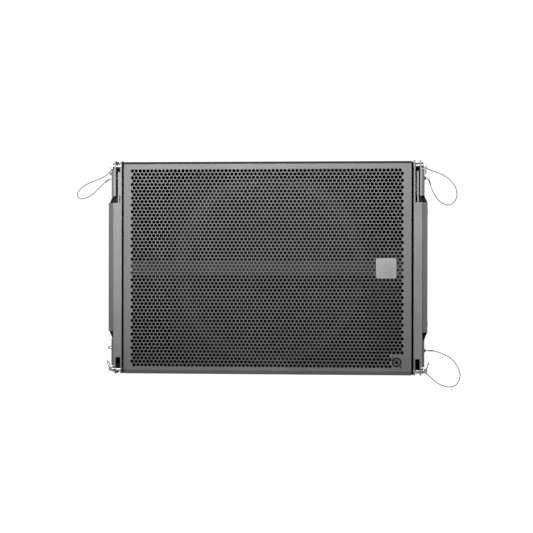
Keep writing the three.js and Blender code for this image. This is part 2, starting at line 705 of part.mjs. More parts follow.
function handleCup(name) {
  const halfLength = HANDLE_CUP_LENGTH / 2;
  const face = FIT_GAP + HANDLE_FLANGE;
  const body = roundedAcrossX(HANDLE_CUP_LENGTH, HANDLE_CUP_HEIGHT, 12, 0, MIDDLE, -HANDLE_CUP_DEPTH, face);
  const flange = roundedAcrossX(
    HANDLE_CUP_LENGTH + 2 * HANDLE_FLANGE_MARGIN, HANDLE_CUP_HEIGHT + 2 * HANDLE_FLANGE_MARGIN,
    16, 0, MIDDLE, FIT_GAP, face,
  );
  const hollow = roundedAcrossX(
    2 * (halfLength - HANDLE_CUP_WALL), HANDLE_CUP_HEIGHT - 2 * HANDLE_CUP_WALL,
    9, 0, MIDDLE, -HANDLE_CUP_DEPTH + HANDLE_CUP_WALL, face + 1,
  );
  return piece(name, cut(join(body, flange), hollow), blackPlastic());
}

// A C-shaped pressing between the front and rear channels, open towards the cabinet.
function sidePan(name) {
  const top = -PAN_TOP;
  const low = BOTTOM + PAN_BOTTOM;
  const outerFace = OUT_CHANNEL_END;
  const profile = [
    [FIT_GAP, low],
    [outerFace, low],
    [outerFace, top],
    [FIT_GAP, top],
    [FIT_GAP, top - PAN_SHEET],
    [outerFace - PAN_SHEET, top - PAN_SHEET],
    [outerFace - PAN_SHEET, low + PAN_SHEET],
    [FIT_GAP, low + PAN_SHEET],
  ];
  const end = -CHANNEL_BACK - FIT_GAP;
  const pan = alongY(profile, -end, end);
  const slot = gripSlot(outerFace - PAN_SHEET - 1, outerFace + 1);
  return piece(name, cut(pan, slot), powderSteel());
}

function gripSlot(x0, x1) {
  return roundedAcrossX(GRIP_SLOT_LENGTH, GRIP_SLOT_HEIGHT, GRIP_SLOT_HEIGHT / 2 - 1, 0, MIDDLE, x0, x1);
}

// The outer board: thin at its ends, thick in the middle, with a slope between.
function sideCheek(name) {
  const thin = OUT_CHEEK + CHEEK_THIN;
  const thick = OUT_CHEEK + CHEEK_THICK;
  const lowerThick = LOWER_SHOULDER + SHOULDER_HEIGHT + 2;
  const profile = [
    [OUT_CHEEK, BOTTOM + CHEEK_BOTTOM_CUT],
    [thin, BOTTOM + CHEEK_BOTTOM_CUT],
    [thin, LOWER_SHOULDER],
    [thick, lowerThick],
    [thick, -TOP_OPENING],
    [thin, UPPER_SHOULDER],
    [thin, -CHEEK_TOP_CUT],
    [OUT_CHEEK, -CHEEK_TOP_CUT],
  ];
  const front = FRONT + CHEEK_FROM_FRONT;
  const board = alongY(profile, front, -front);
  const pockets = [];
  for (const [y0, y1] of [[front - 1, front + SHOULDER_POCKET], [-front - SHOULDER_POCKET, -front + 1]]) {
    pockets.push(box(OUT_CHEEK - 1, thick + 1, y0, y1, -TOP_OPENING, UPPER_SHOULDER));
    pockets.push(box(OUT_CHEEK - 1, thick + 1, y0, y1, LOWER_SHOULDER, lowerThick));
  }
  const slot = gripSlot(OUT_CHEEK - 1, thick + 1);
  return piece(name, cut(board, slot, ...pockets), texturedCoat());
}

// ---------------------------------------------------------------- one corner of the rigging
// Built for the front right corner, and mirrored for the others.

function rigChannel(name) {
  const backWall = CHANNEL_BACK - CHANNEL_BACK_WALL;
  const web = CHANNEL_FRONT + CHANNEL_WEB;
  const block = box(OUT_CHANNEL, OUT_CHANNEL_END, CHANNEL_FRONT, CHANNEL_BACK, BOTTOM, EAR_RISE);
  const past = 20;
  const ledgeTop = -TOP_OPENING - FIT_GAP;
  const slotUpper = box(OUT_SLOT, OUT_SLOT_END, web, backWall, ledgeTop, past);
  const slotLower = box(OUT_SLOT, OUT_SLOT_END, web, backWall, BOTTOM - past, ledgeTop - LEDGE);
  const mouthTop = box(OUT_SLOT, OUT_SLOT_END, CHANNEL_FRONT - 1, web + 1, -TOP_OPENING, past);
  const footTop = BOTTOM + BOTTOM_OPENING;
  const mouthFoot = box(OUT_SLOT, OUT_SLOT_END, CHANNEL_FRONT - 1, web + 1, BOTTOM - past, footTop);
  const seatTop = box(
    OUT_HEAD_SEAT, OUT_CHANNEL_END + 1, CHANNEL_FRONT - 1, CHANNEL_BACK + 1, -CHEEK_TOP_CUT, past,
  );
  const seatFoot = box(
    OUT_HEAD_SEAT, OUT_CHANNEL_END + 1, CHANNEL_FRONT - 1, CHANNEL_BACK + 1,
    BOTTOM - past, BOTTOM + CHEEK_BOTTOM_CUT,
  );
  const pocketEnd = CHANNEL_FRONT + SHOULDER_POCKET;
  const pocket = box(
    OUT_SLOT_END - 1, OUT_CHANNEL_END + 1, CHANNEL_FRONT - 1, pocketEnd, -TOP_OPENING, UPPER_SHOULDER,
  );
  const holes = [];
  for (const y of [PIN_Y, LOCK_Y]) {
    for (const z of [PIN_TOP_Z, PIN_BOTTOM_Z]) {
      holes.push(barX(PIN_HOLE_RADIUS, OUT_CHANNEL - 1, OUT_CHANNEL_END + 1, y, z));
    }
  }
  const saddleX = (OUT_SLOT + OUT_SLOT_END) / 2;
  const saddleOffset = SADDLE_RADIUS * 0.6;
  const saddles = [EAR_RISE + saddleOffset, BOTTOM - saddleOffset].map((z) => (
    barY(SADDLE_RADIUS, saddleX, backWall - 1, CHANNEL_BACK + 1, z)
  ));
  const corners = [];
  for (const [end, inward] of [[EAR_RISE, -1], [BOTTOM, 1]]) {
    const z = end + inward * CHANNEL_CORNER_RADIUS;
    for (const [edge, back] of [[CHANNEL_FRONT, 1], [CHANNEL_BACK, -1]]) {
      corners.push(roundOff(edge + back * CHANNEL_CORNER_RADIUS, z, -back, -inward));
    }
  }
  const channel = cut(
    block, slotUpper, slotLower, mouthTop, mouthFoot, seatTop, seatFoot, pocket,
    ...holes, ...saddles, ...corners,
  );
  return piece(name, channel, powderSteel());
}

// What is left of a square corner outside a quarter round centred at (y, z).
function roundOff(y, z, towardsY, towardsZ) {
  const r = CHANNEL_CORNER_RADIUS;
  const [y0, y1] = towardsY > 0 ? [y, y + r + 1] : [y - r - 1, y];
  const [z0, z1] = towardsZ > 0 ? [z, z + r + 1] : [z - r - 1, z];
  const square = box(OUT_CHANNEL - 1, OUT_CHANNEL_END + 1, y0, y1, z0, z1);
  return cut(square, barX(r, OUT_CHANNEL - 2, OUT_CHANNEL_END + 2, y, z, 4 * CORNER_SEGMENTS));
}

// A flat bar stowed in the channel, drawn up through its top to join the cabinet above.
function linkBar(name) {
  const x0 = OUT_SLOT + LINK_SIDE_CLEARANCE;
  const x1 = x0 + LINK_THICKNESS;
  const front = PIN_Y + PIN_RADIUS + LINK_BEHIND_PIN;
  const back = CHANNEL_BACK - CHANNEL_BACK_WALL - LINK_SIDE_CLEARANCE;
  const foot = -TOP_OPENING + LINK_TAIL;
  const bar = box(x0, x1, front, back, foot, foot + LINK_LENGTH);
  const tail = box(x1 - LINK_TAIL_WIDTH, x1, front, back, -TOP_OPENING, foot + 1);
  const holes = [0, 1].map((i) => {
    const z = foot + LINK_HOLE_FROM_FOOT + i * LINK_HOLE_SPACING;
    return barX(PIN_HOLE_RADIUS, x0 - 1, x1 + 1, LOCK_Y, z);
  });
  return piece(name, cut(join(bar, tail), ...holes), powderSteel());
}

// A quick-release pin: shaft, round head, and a flat tang with a cross hole for its ring.
function lockPin(name, z) {
  const shaft = barX(PIN_RADIUS, OUT_CHANNEL - PIN_TIP, OUT_HEAD + 1, PIN_Y, z);
  const head = barX(HEAD_RADIUS, OUT_HEAD, OUT_TANG, PIN_Y, z);
  const tangEnd = OUT_RING_HOLE + TANG_PAST_HOLE;
  const t = TANG_THICKNESS / 2;
  const h = TANG_HEIGHT / 2;
  const tang = box(OUT_TANG - 1, tangEnd, PIN_Y - t, PIN_Y + t, z - h, z + h);
  const hole = barY(TANG_HOLE_RADIUS, OUT_RING_HOLE, PIN_Y - t - 1, PIN_Y + t + 1, z);
  return piece(name, cut(join(shaft, head, tang), hole), bareSteel());
}

// The pull ring, threaded through the tang. At no tilt it hangs straight down.
function pullRing(name, z, tiltDegrees) {
  const ring = new THREE.TorusGeometry(RING_RADIUS, RING_WIRE_RADIUS, RING_WIRE_SEGMENTS, RING_SEGMENTS);
  ring.rotateY(Math.PI / 2).translate(0, 0, -RING_RADIUS);
  ring.rotateY(-THREE.MathUtils.degToRad(tiltDegrees));
  ring.translate(OUT_RING_HOLE, PIN_Y, z);
  return piece(name, ring, bareSteel());
}

// A screwed eyelet on the cheek that holds the lanyard's fixed end.
function lanyardAnchor(name, z) {
  const x0 = OUT_CHEEK + CHEEK_THIN + FIT_GAP;
  const y = PIN_Y + ANCHOR_BEHIND_PIN;
  const foot = barX(ANCHOR_RADIUS, x0, x0 + ANCHOR_HEIGHT / 2, y, z);
  const post = barX(ANCHOR_RADIUS / 2, x0, x0 + ANCHOR_HEIGHT, y, z);
  return piece(name, join(foot, post), bareSteel());
}

// ---------------------------------------------------------------- lanyards
// Each route runs from the anchor to the back of the pin's head. A point is
// [out from the side face, back from the pin's axis, up from the pin's axis].

const ANCHOR_OUT = OUT_CHEEK + CHEEK_THIN + FIT_GAP + ANCHOR_HEIGHT + FIT_GAP;
const HEAD_MIDDLE = OUT_HEAD + HEAD_LENGTH / 2;
const HEAD_BACK = HEAD_RADIUS + FIT_GAP;

const TOP_RIGHT_ROUTE = [
  [ANCHOR_OUT, ANCHOR_BEHIND_PIN, PIN_FROM_TOP - TOP_ANCHOR_FROM_TOP],
  [38.5, 18, -30.6], [42.5, 18, -38], [46, 18, -50], [51, 18, -62], [57, 18, -73],
  [65, 18, -84], [75, 18, -91], [86, 18, -94], [96, 18, -92], [104, 18, -84],
  [108, 18, -72], [107, 18, -59], [102, 18, -47], [94, 18, -37], [84, 18, -28],
  [72, 18, -21], [60, 18, -16], [48, 18, -12], [38, 18, -8], [31, 16.5, -4],
  [27, 13, -1], [HEAD_MIDDLE, HEAD_BACK + 3, 0], [HEAD_MIDDLE, HEAD_BACK, 0],
];

const TOP_LEFT_ROUTE = [
  [ANCHOR_OUT, ANCHOR_BEHIND_PIN, PIN_FROM_TOP - TOP_ANCHOR_FROM_TOP],
  [38.5, 18, -30.5], [45, 18, -33], [54, 18, -40], [62, 18, -48], [71, 18, -57],
  [81, 18, -66], [92, 18, -73], [103, 18, -77], [113, 18, -77], [119, 18, -72],
  [119, 18, -64], [114, 18, -56], [105, 18, -48], [94, 18, -41], [82, 18, -36],
  [70, 18, -31], [58, 18, -26], [47, 18, -20], [38, 18, -12], [31, 16.5, -5],
  [27, 13, -1], [HEAD_MIDDLE, HEAD_BACK + 3, 0], [HEAD_MIDDLE, HEAD_BACK, 0],
];

const BOTTOM_RIGHT_ROUTE = [
  [ANCHOR_OUT, ANCHOR_BEHIND_PIN, BOTTOM_ANCHOR_FROM_BOTTOM - PIN_FROM_BOTTOM],
  [39, 18, 48], [46, 18, 48], [56, 18, 46.5], [67, 18, 43.5], [78, 18, 39],
  [89, 18, 33], [99, 18, 25], [107, 18, 15], [113, 18, 4], [116, 18, -8],
  [115, 18, -20], [110, 18, -30], [101, 18, -37], [90, 18, -39], [79, 18, -37],
  [68, 18, -33], [57, 18, -26], [48, 18, -18], [39, 18, -10], [32, 16.5, -4],
  [27, 13, -1], [HEAD_MIDDLE, HEAD_BACK + 3, 0], [HEAD_MIDDLE, HEAD_BACK, 0],
];

const BOTTOM_LEFT_ROUTE = [
  [ANCHOR_OUT, ANCHOR_BEHIND_PIN, BOTTOM_ANCHOR_FROM_BOTTOM - PIN_FROM_BOTTOM],
  [39, 19, 48.5], [42.5, 24, 50], [44, 32, 52], [44, 43, 53], [44, 55, 53],
  [44, 67, 51], [44, 79, 47], [44, 90, 41], [44, 98, 33], [44, 102, 23],
  [44, 101, 13], [44, 96, 4], [44, 88, -2], [43, 78, -6], [42, 67, -8],
  [40, 56, -9], [37, 45, -8], [34, 35, -6], [31, 26, -3.5], [28.5, 19, -1.5],
  [27, 14, -0.5], [HEAD_MIDDLE, HEAD_BACK + 3, 0], [HEAD_MIDDLE, HEAD_BACK, 0],
];

function lanyard(name, route, pinZ) {
  const points = route.map(([out, back, up]) => new THREE.Vector3(out, PIN_Y + back, pinZ + up));
  const path = new THREE.CatmullRomCurve3(points, false, 'centripetal');
  const section = outline(arc(0, 0, LANYARD_RADIUS, 0, 360 - 360 / LANYARD_SIDES, LANYARD_SIDES - 1));
  const rope = new THREE.ExtrudeGeometry(section, { steps: LANYARD_STEPS, extrudePath: path });
  return piece(name, rope, wireRope());
}

// ---------------------------------------------------------------- assembly

const speaker = new THREE.Group();
speaker.name = 'line_array_speaker';

const cabinet = new THREE.Group();
cabinet.add(cabinetTop(), cabinetBottom(), cabinetRear(), driverBaffle(), frontBrace());
cabinet.add(frontGrille(), badgePlate(), frontSocket());
cabinet.add(inputPlate(), rearSocket('rear_socket_in', -1), rearSocket('rear_socket_link', 1));
speaker.add(cabinet);

const woofer = new THREE.Group();
woofer.add(wooferBasket(), wooferSurround(), wooferCone(), wooferDustCap());
woofer.add(voiceCoil(), wooferSpider(), wooferMagnet());
speaker.add(woofer);

// Adds the meshes that makeMeshes returns under a group that mirrors them into place.
function mirrored(makeMeshes, sideSign, depthSign, offset) {
  const group = new THREE.Group();
  group.scale.set(sideSign, depthSign, 1);
  group.position.x = sideSign * offset;
  group.add(...makeMeshes());
  speaker.add(group);
}

for (const [side, sign] of [['right', 1], ['left', -1]]) {
  mirrored(() => [cabinetSide(`cabinet_side_${side}`), portWall(`port_wall_${side}`)], sign, 1, 0);
  mirrored(() => [
    handleCup(`handle_cup_${side}`),
    sidePan(`side_pan_${side}`),
    sideCheek(`side_cheek_${side}`),
  ], sign, 1, HALF_WIDTH);

  for (const [end, depth] of [['front', 1], ['rear', -1]]) {
    const corner = `${end}_${side}`;
    mirrored(() => [
      rigChannel(`rig_channel_${corner}`),
      linkBar(`link_bar_${corner}`),
      lockPin(`top_pin_${corner}`, PIN_TOP_Z),
      lockPin(`bottom_pin_${corner}`, PIN_BOTTOM_Z),
      pullRing(`top_ring_${corner}`, PIN_TOP_Z, 0),
      pullRing(`bottom_ring_${corner}`, PIN_BOTTOM_Z, BOTTOM_RING_TILT),
    ], sign, depth, HALF_WIDTH);
  }
}

const lanyards = [
  ['top', 'right', 1, TOP_RIGHT_ROUTE, PIN_TOP_Z, -TOP_ANCHOR_FROM_TOP],
  ['top', 'left', -1, TOP_LEFT_ROUTE, PIN_TOP_Z, -TOP_ANCHOR_FROM_TOP],
  ['bottom', 'right', 1, BOTTOM_RIGHT_ROUTE, PIN_BOTTOM_Z, BOTTOM + BOTTOM_ANCHOR_FROM_BOTTOM],
  ['bottom', 'left', -1, BOTTOM_LEFT_ROUTE, PIN_BOTTOM_Z, BOTTOM + BOTTOM_ANCHOR_FROM_BOTTOM],
];
for (const [level, side, sign, route, pinZ, anchorZ] of lanyards) {
  mirrored(() => [
    lanyardAnchor(`${level}_anchor_${side}`, anchorZ),
    lanyard(`${level}_lanyard_${side}`, route, pinZ),
  ], sign, 1, HALF_WIDTH);
}

export default speaker;
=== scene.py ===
"""Looks of a flown line array loudspeaker: cabinet, perforated front, woofer and side rigging.

Sizes are in millimetres and are turned to metres where a mesh is made. +Z is up, the front
looks along -Y, +X is the right-hand side seen from the front, and the origin is at the
middle of the cabinet's top face. Rigging sizes called "out" run outwards from the
cabinet's side face. Everything off the middle is built once, for the front right corner.
"""

import logging
import math
from dataclasses import dataclass
from enum import Enum
from typing import Callable, Iterable, Sequence

import bmesh
import bpy
import numpy as np
from mathutils import Matrix, Vector


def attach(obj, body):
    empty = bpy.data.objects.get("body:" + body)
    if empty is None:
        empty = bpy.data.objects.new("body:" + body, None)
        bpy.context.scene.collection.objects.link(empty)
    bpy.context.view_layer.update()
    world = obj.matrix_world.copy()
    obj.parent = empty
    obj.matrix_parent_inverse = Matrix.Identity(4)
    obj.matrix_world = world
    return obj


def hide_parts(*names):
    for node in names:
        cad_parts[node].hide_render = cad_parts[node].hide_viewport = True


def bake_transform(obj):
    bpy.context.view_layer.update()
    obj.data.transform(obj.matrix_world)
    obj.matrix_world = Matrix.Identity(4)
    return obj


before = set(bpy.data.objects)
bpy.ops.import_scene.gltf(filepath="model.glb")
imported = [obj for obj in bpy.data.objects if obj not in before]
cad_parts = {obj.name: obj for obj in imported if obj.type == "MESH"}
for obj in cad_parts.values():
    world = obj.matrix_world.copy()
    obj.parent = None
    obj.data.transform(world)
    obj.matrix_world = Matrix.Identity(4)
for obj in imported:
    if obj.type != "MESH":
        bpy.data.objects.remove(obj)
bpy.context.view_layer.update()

MM = 0.001
LOG = logging.getLogger("speaker")
Point = Sequence[float]


class Side(Enum):
    """The two sides of the cabinet and their sign along X."""

    RIGHT = 1
    LEFT = -1


class End(Enum):
    """Front and rear rigging and their sign against the front's -Y."""

    FRONT = 1
    REAR = -1


class Level(Enum):
    """The upper and lower row of pins."""

    TOP = "top"
    BOTTOM = "bottom"


class Pattern(Enum):
    """Figure that a finish carries on top of its grain."""

    PLAIN = "plain"
    BRUSHED = "brushed"
    WOVEN = "woven"
    STRANDED = "stranded"
    WOUND = "wound"


# ------------------------------------------------------------------ sizes shared by pieces


@dataclass(frozen=True)
class Envelope:
    """Overall sizes of the cabinet."""

    width: float = 695.0
    height: float = 513.0
    depth: float = 700.0
    wall: float = 15.0
    gap: float = 0.3
    sheet: float = 1.5
    nose: float = 3.3
    bevel: float = 10.0
    rear_recess: float = 12.0
    baffle_back_set: float = 88.0

    @property
    def half_width(self) -> float:
        """Middle to side face."""
        return self.width / 2

    @property
    def front(self) -> float:
        """The grille's front face along Y."""
        return -self.depth / 2

    @property
    def bottom(self) -> float:
        """The cabinet's underside along Z."""
        return -self.height

    @property
    def middle(self) -> float:
        """Half height along Z."""
        return -self.height / 2

    @property
    def socket_z(self) -> float:
        """Height of the small socket on the front."""
        return self.bottom + self.wall + 17.0

    @property
    def wall_front(self) -> float:
        """Front ends of the walls, just behind the grille."""
        return self.front + self.sheet + self.gap

    @property
    def rear_face(self) -> float:
        """Outer face of the recessed rear panel."""
        return self.depth / 2 - self.rear_recess

    @property
    def baffle_front(self) -> float:
        """Front face of the baffle, where the woofer sits."""
        return self.front + self.baffle_back_set


@dataclass(frozen=True)
class RigPlan:
    """Side rigging, measured out from the cabinet's side face."""

    channel: float = 5.0
    inner_plate: float = 3.4
    slot_width: float = 11.4
    outer_plate: float = 5.4
    seat_plate: float = 3.0
    web: float = 3.4
    back_wall: float = 4.0
    channel_depth: float = 54.0
    from_front: float = 1.0
    corner: float = 8.0
    ear: float = 2.5
    saddle: float = 10.0
    top_opening: float = 99.0
    bottom_opening: float = 40.0
    shoulder: float = 16.0
    pocket: float = 12.0
    ledge: float = 4.0
    cheek_thin: float = 5.1
    cheek_thick: float = 12.3
    cheek_top: float = 18.0
    cheek_bottom: float = 20.0
    lower_shoulder: float = 85.0
    pin_radius: float = 4.0
    hole_radius: float = 4.25
    pin_from_front: float = 10.0
    pin_from_top: float = 10.0
    pin_from_bottom: float = 11.0
    head_length: float = 6.0
    lock_behind: float = 23.0

    @property
    def slot(self) -> float:
        """Inner side of the open slot."""
        return self.channel + self.inner_plate

    @property
    def slot_end(self) -> float:
        """Outer side of the open slot."""
        return self.slot + self.slot_width

    @property
    def end(self) -> float:
        """Outer face of the channel."""
        return self.slot_end + self.outer_plate

    @property
    def seat(self) -> float:
        """Face the pin's head rests on."""
        return self.slot_end + self.seat_plate

    @property
    def cheek(self) -> float:
        """Inner face of the cheek board."""
        return self.end + 0.3

    @property
    def head(self) -> float:
        """Inner face of the pin's head."""
        return self.seat + 0.3

    @property
    def tang(self) -> float:
        """Where the head ends and the tang starts."""
        return self.head + self.head_length

    @property
    def ring(self) -> float:
        """The pull ring's hinge."""
        return self.cheek + self.cheek_thin + 3.0


ENV = Envelope()
RIG = RigPlan()
CHANNEL_FRONT = ENV.front + RIG.from_front
CHANNEL_BACK = CHANNEL_FRONT + RIG.channel_depth
PIN_Y = ENV.front + RIG.pin_from_front
LOCK_Y = PIN_Y + RIG.lock_behind
PIN_Z = {Level.TOP: -RIG.pin_from_top, Level.BOTTOM: ENV.bottom + RIG.pin_from_bottom}


# ------------------------------------------------------------------ mesh helpers


def link_mesh(name: str, mesh: bpy.types.Mesh) -> bpy.types.Object:
    """Put a mesh in the scene as an object at the origin."""
    obj = bpy.data.objects.new(name, mesh)
    bpy.context.scene.collection.objects.link(obj)
    return obj


def solid(name: str, verts: Iterable[Point], faces: Iterable[Sequence[int]]) -> bpy.types.Object:
    """Make a closed mesh with its normals out.

    Args:
        name: The object's name.
        verts: Corners in millimetres.
        faces: Corner numbers of each face.

    Returns:
        The new object, in metres.
    """
    mesh = bpy.data.meshes.new(name)
    mesh.from_pydata([tuple(c * MM for c in v) for v in verts], [], [tuple(f) for f in faces])
    work = bmesh.new()
    work.from_mesh(mesh)
    bmesh.ops.recalc_face_normals(work, faces=work.faces)
    work.to_mesh(mesh)
    work.free()
    return link_mesh(name, mesh)


def prism(
    outline: Sequence[Point], axis: str, low: float, high: float, name: str = "tool"
) -> bpy.types.Object:
    """Draw a flat outline out along an axis.

    Args:
        outline: Points in the two other axes, in their alphabetical order.
        axis: "x", "y" or "z".
        low: Start along the axis.
        high: End along the axis.
        name: The object's name.

    Returns:
        The closed solid.
    """
    order = {"x": lambda a, b, c: (c, a, b), "y": lambda a, b, c: (a, c, b), "z": lambda a, b, c: (a, b, c)}
    place = order[axis]
    count = len(outline)
    verts = [place(a, b, low) for a, b in outline] + [place(a, b, high) for a, b in outline]
    faces = [list(range(count)), list(range(2 * count - 1, count - 1, -1))]
    for i in range(count):
        j = (i + 1) % count
        faces.append([i, j, count + j, count + i])
    return solid(name, verts, faces)


def block(
    x0: float, x1: float, y0: float, y1: float, z0: float, z1: float, name: str = "tool"
) -> bpy.types.Object:
    """A box from its lowest to its highest corner."""
    return prism([(x0, y0), (x1, y0), (x1, y1), (x0, y1)], "z", z0, z1, name)


def arc(
    ca: float, cb: float, radius: float, start: float, end: float, steps: int
) -> list[tuple[float, float]]:
    """Points on an arc in degrees, ends included."""
    turns = [math.radians(start + (end - start) * i / steps) for i in range(steps + 1)]
    return [(ca + radius * math.cos(t), cb + radius * math.sin(t)) for t in turns]


def disc(ca: float, cb: float, radius: float, sides: int) -> list[tuple[float, float]]:
    """Points round a circle."""
    return arc(ca, cb, radius, 0, 360, sides)[:-1]


def rounded(
    ca: float, cb: float, width: float, height: float, radius: float, steps: int = 6
) -> list[tuple[float, float]]:
    """Outline of a rectangle with round corners."""
    w, h = width / 2 - radius, height / 2 - radius
    points = arc(ca + w, cb + h, radius, 0, 90, steps) + arc(ca - w, cb + h, radius, 90, 180, steps)
    return points + arc(
        ca - w, cb - h, radius, 180, 270, steps
    ) + arc(ca + w, cb - h, radius, 270, 360, steps)


def rod(
    axis: str, radius: float, low: float, high: float, ca: float, cb: float, sides: int = 32
) -> bpy.types.Object:
    """A round bar along an axis, about (ca, cb) in the other two."""
    return prism(disc(ca, cb, radius, sides), axis, low, high)


def lathe(
    profile: Sequence[Point], axis: str, centre: Point, sides: int = 64, name: str = "tool"
) -> bpy.types.Object:
    """Turn a profile about an axis.

    Args:
        profile: (radius, distance along the axis) points. A profile that leaves the axis
            at neither end closes on itself.
        axis: "x" or "y".
        centre: Where the axis' zero is.
        sides: Steps round.
        name: The object's name.

    Returns:
        The closed solid.
    """
    verts: list[tuple[float, float, float]] = []
    rings: list[list[int]] = []
    cx, cy, cz = centre
    for radius, along in profile:
        if radius < 1e-6:
            verts.append((cx + along, cy, cz) if axis == "x" else (cx, cy + along, cz))
            rings.append([len(verts) - 1])
            continue
        rings.append(list(range(len(verts), len(verts) + sides)))
        for i in range(sides):
            turn = 2 * math.pi * i / sides
            u, v = radius * math.cos(turn), radius * math.sin(turn)
            verts.append((cx + along, cy + u, cz + v) if axis == "x" else (cx + u, cy + along, cz + v))
    pairs = list(zip(rings, rings[1:]))
    if len(rings[0]) > 1 and len(rings[-1]) > 1:
        pairs.append((rings[-1], rings[0]))
    faces = []
    for a, b in pairs:
        for i in range(sides):
            j = (i + 1) % sides
            corners = [a[i % len(a)], a[j % len(a)], b[j % len(b)], b[i % len(b)]]
            faces.append(list(dict.fromkeys(corners)))
    return solid(name, verts, faces)


def tube(
    name: str, path: Sequence[Vector], radius: float, sides: int = 12,
    shaped: Callable[[float], float] | None = None
) -> bpy.types.Object:
    """Sweep a round section along a path, with a UV map of (length, turn).

    Args:
        name: The object's name.
        path: Points in millimetres.
        radius: Of the section.
        sides: Steps round.
        shaped: Scales the radius by the share of the length passed.

    Returns:
        The closed tube with domed ends.
    """
    count = len(path)
    tangents = [(path[min(i + 1, count - 1)] - path[max(i - 1, 0)]).normalized() for i in range(count)]
    normal = tangents[0].orthogonal().normalized()
    verts: list[Vector] = []
    lengths = [0.0]
    for i in range(1, count):
        lengths.append(lengths[-1] + (path[i] - path[i - 1]).length)
    for i, (point, tangent) in enumerate(zip(path, tangents)):
        normal = (normal - tangent * normal.dot(tangent)).normalized()
        other = tangent.cross(normal)
        size = radius * (shaped(lengths[i] / lengths[-1]) if shaped else 1.0)
        for k in range(sides):
            turn = 2 * math.pi * k / sides
            verts.append(point + (normal * math.cos(turn) + other * math.sin(turn)) * size)
    faces, uvs = [], []
    for i in range(count - 1):
        for k in range(sides):
            m = (k + 1) % sides
            faces.append([i * sides + k, i * sides + m, (i + 1) * sides + m, (i + 1) * sides + k])
            a, b = lengths[i] * MM, lengths[i + 1] * MM
            uvs.extend([(a, k / sides), (a, (k + 1) / sides), (b, (k + 1) / sides), (b, k / sides)])
    for start in (0, (count - 1) * sides):
        faces.append(list(range(start, start + sides)))
        uvs.extend([(lengths[-1] * MM if start else 0.0, k / sides) for k in range(sides)])
    mesh = bpy.data.meshes.new(name)
    mesh.from_pydata([tuple(v * MM) for v in verts], [], faces)
    layer = mesh.uv_layers.new(name="rope")
    for loop, uv in zip(layer.data, uvs):
        loop.uv = uv
    work = bmesh.new()
    work.from_mesh(mesh)
    bmesh.ops.recalc_face_normals(work, faces=work.faces)
    work.to_mesh(mesh)
    work.free()
    return link_mesh(name, mesh)


def hoop(
    name: str, centre: Vector, across: Vector, up: Vector, radius: float, wire: float, major: int = 56,
    minor: int = 12
) -> bpy.types.Object:
    """A closed ring of round wire in the plane of two directions."""
    axis = across.cross(up).normalized()
    verts, faces = [], []
    for i in range(major):
        turn = 2 * math.pi * i / major
        out = across * math.cos(turn) + up * math.sin(turn)
        for k in range(minor):
            roll = 2 * math.pi * k / minor
            verts.append(centre + out * (radius + wire * math.cos(roll)) + axis * wire * math.sin(roll))
    for i in range(major):
        for k in range(minor):
            a, b = i * minor, (i + 1) % major * minor
            m = (k + 1) % minor
            faces.append([a + k, a + m, b + m, b + k])
    return solid(name, verts, faces)


def apply_modifiers(obj: bpy.types.Object) -> bpy.types.Object:
    """Bake an object's modifiers into its own mesh."""
    graph = bpy.context.evaluated_depsgraph_get()
    made = bpy.data.meshes.new_from_object(obj.evaluated_get(graph))
    obj.modifiers.clear()
    old = obj.data
    obj.data = made
    bpy.data.meshes.remove(old)
    return obj


def discard(obj: bpy.types.Object) -> None:
    """Remove a helper and its mesh."""
    mesh = obj.data
    bpy.data.objects.remove(obj)
    bpy.data.meshes.remove(mesh)


def combine(body: bpy.types.Object, operation: str, tools: Sequence[bpy.types.Object]) -> bpy.types.Object:
    """Join tools to a body or cut them from it.

    Args:
        body: What is changed.
        operation: "UNION" or "DIFFERENCE".
        tools: Used up by the operation.

    Returns:
        The body.
    """
    for tool in tools:
        step = body.modifiers.new("step", "BOOLEAN")
        step.operation = operation
        step.solver = "EXACT"
        step.object = tool
    bpy.context.view_layer.update()
    apply_modifiers(body)
    for tool in tools:
        discard(tool)
    return body


def cut(body: bpy.types.Object, *tools: bpy.types.Object) -> bpy.types.Object:
    """Take tools away from a body."""
    return combine(body, "DIFFERENCE", tools)


def join(body: bpy.types.Object, *tools: bpy.types.Object) -> bpy.types.Object:
    """Weld tools to a body."""
    return combine(body, "UNION", tools)


def gather(name: str, parts: Sequence[bpy.types.Object]) -> bpy.types.Object:
    """Put several closed shells into one mesh, without cutting them."""
    work = bmesh.new()
    for part in parts:
        work.from_mesh(part.data)
    mesh = bpy.data.meshes.new(name)
    work.to_mesh(mesh)
    work.free()
    for part in parts:
        discard(part)
    return link_mesh(name, mesh)


def soften(obj: bpy.types.Object, width: float, steps: int = 2, angle: float = 35.0) -> bpy.types.Object:
    """Round an object's sharp edges and keep its flat faces flat.

    Args:
        obj: A closed solid.
        width: Of the rounding, in millimetres.
        steps: Faces across the rounding.
        angle: Edges that turn more than this are rounded.

    Returns:
        The object.
    """
    if width > 0:
        rounding = obj.modifiers.new("rounding", "BEVEL")
        rounding.width = width * MM
        rounding.segments = steps
        rounding.limit_method = "ANGLE"
        rounding.angle_limit = math.radians(angle)
        rounding.miter_outer = "MITER_ARC"
        apply_modifiers(obj)
    return smooth(obj)


def smooth(obj: bpy.types.Object, angle: float = 35.0) -> bpy.types.Object:
    """Shade smooth, with sharp edges where faces turn more than an angle."""
    obj.data.shade_smooth()
    obj.data.set_sharp_from_angle(angle=math.radians(angle))
    flat = obj.modifiers.new("flat", "WEIGHTED_NORMAL")
    flat.keep_sharp = True
    return apply_modifiers(obj)


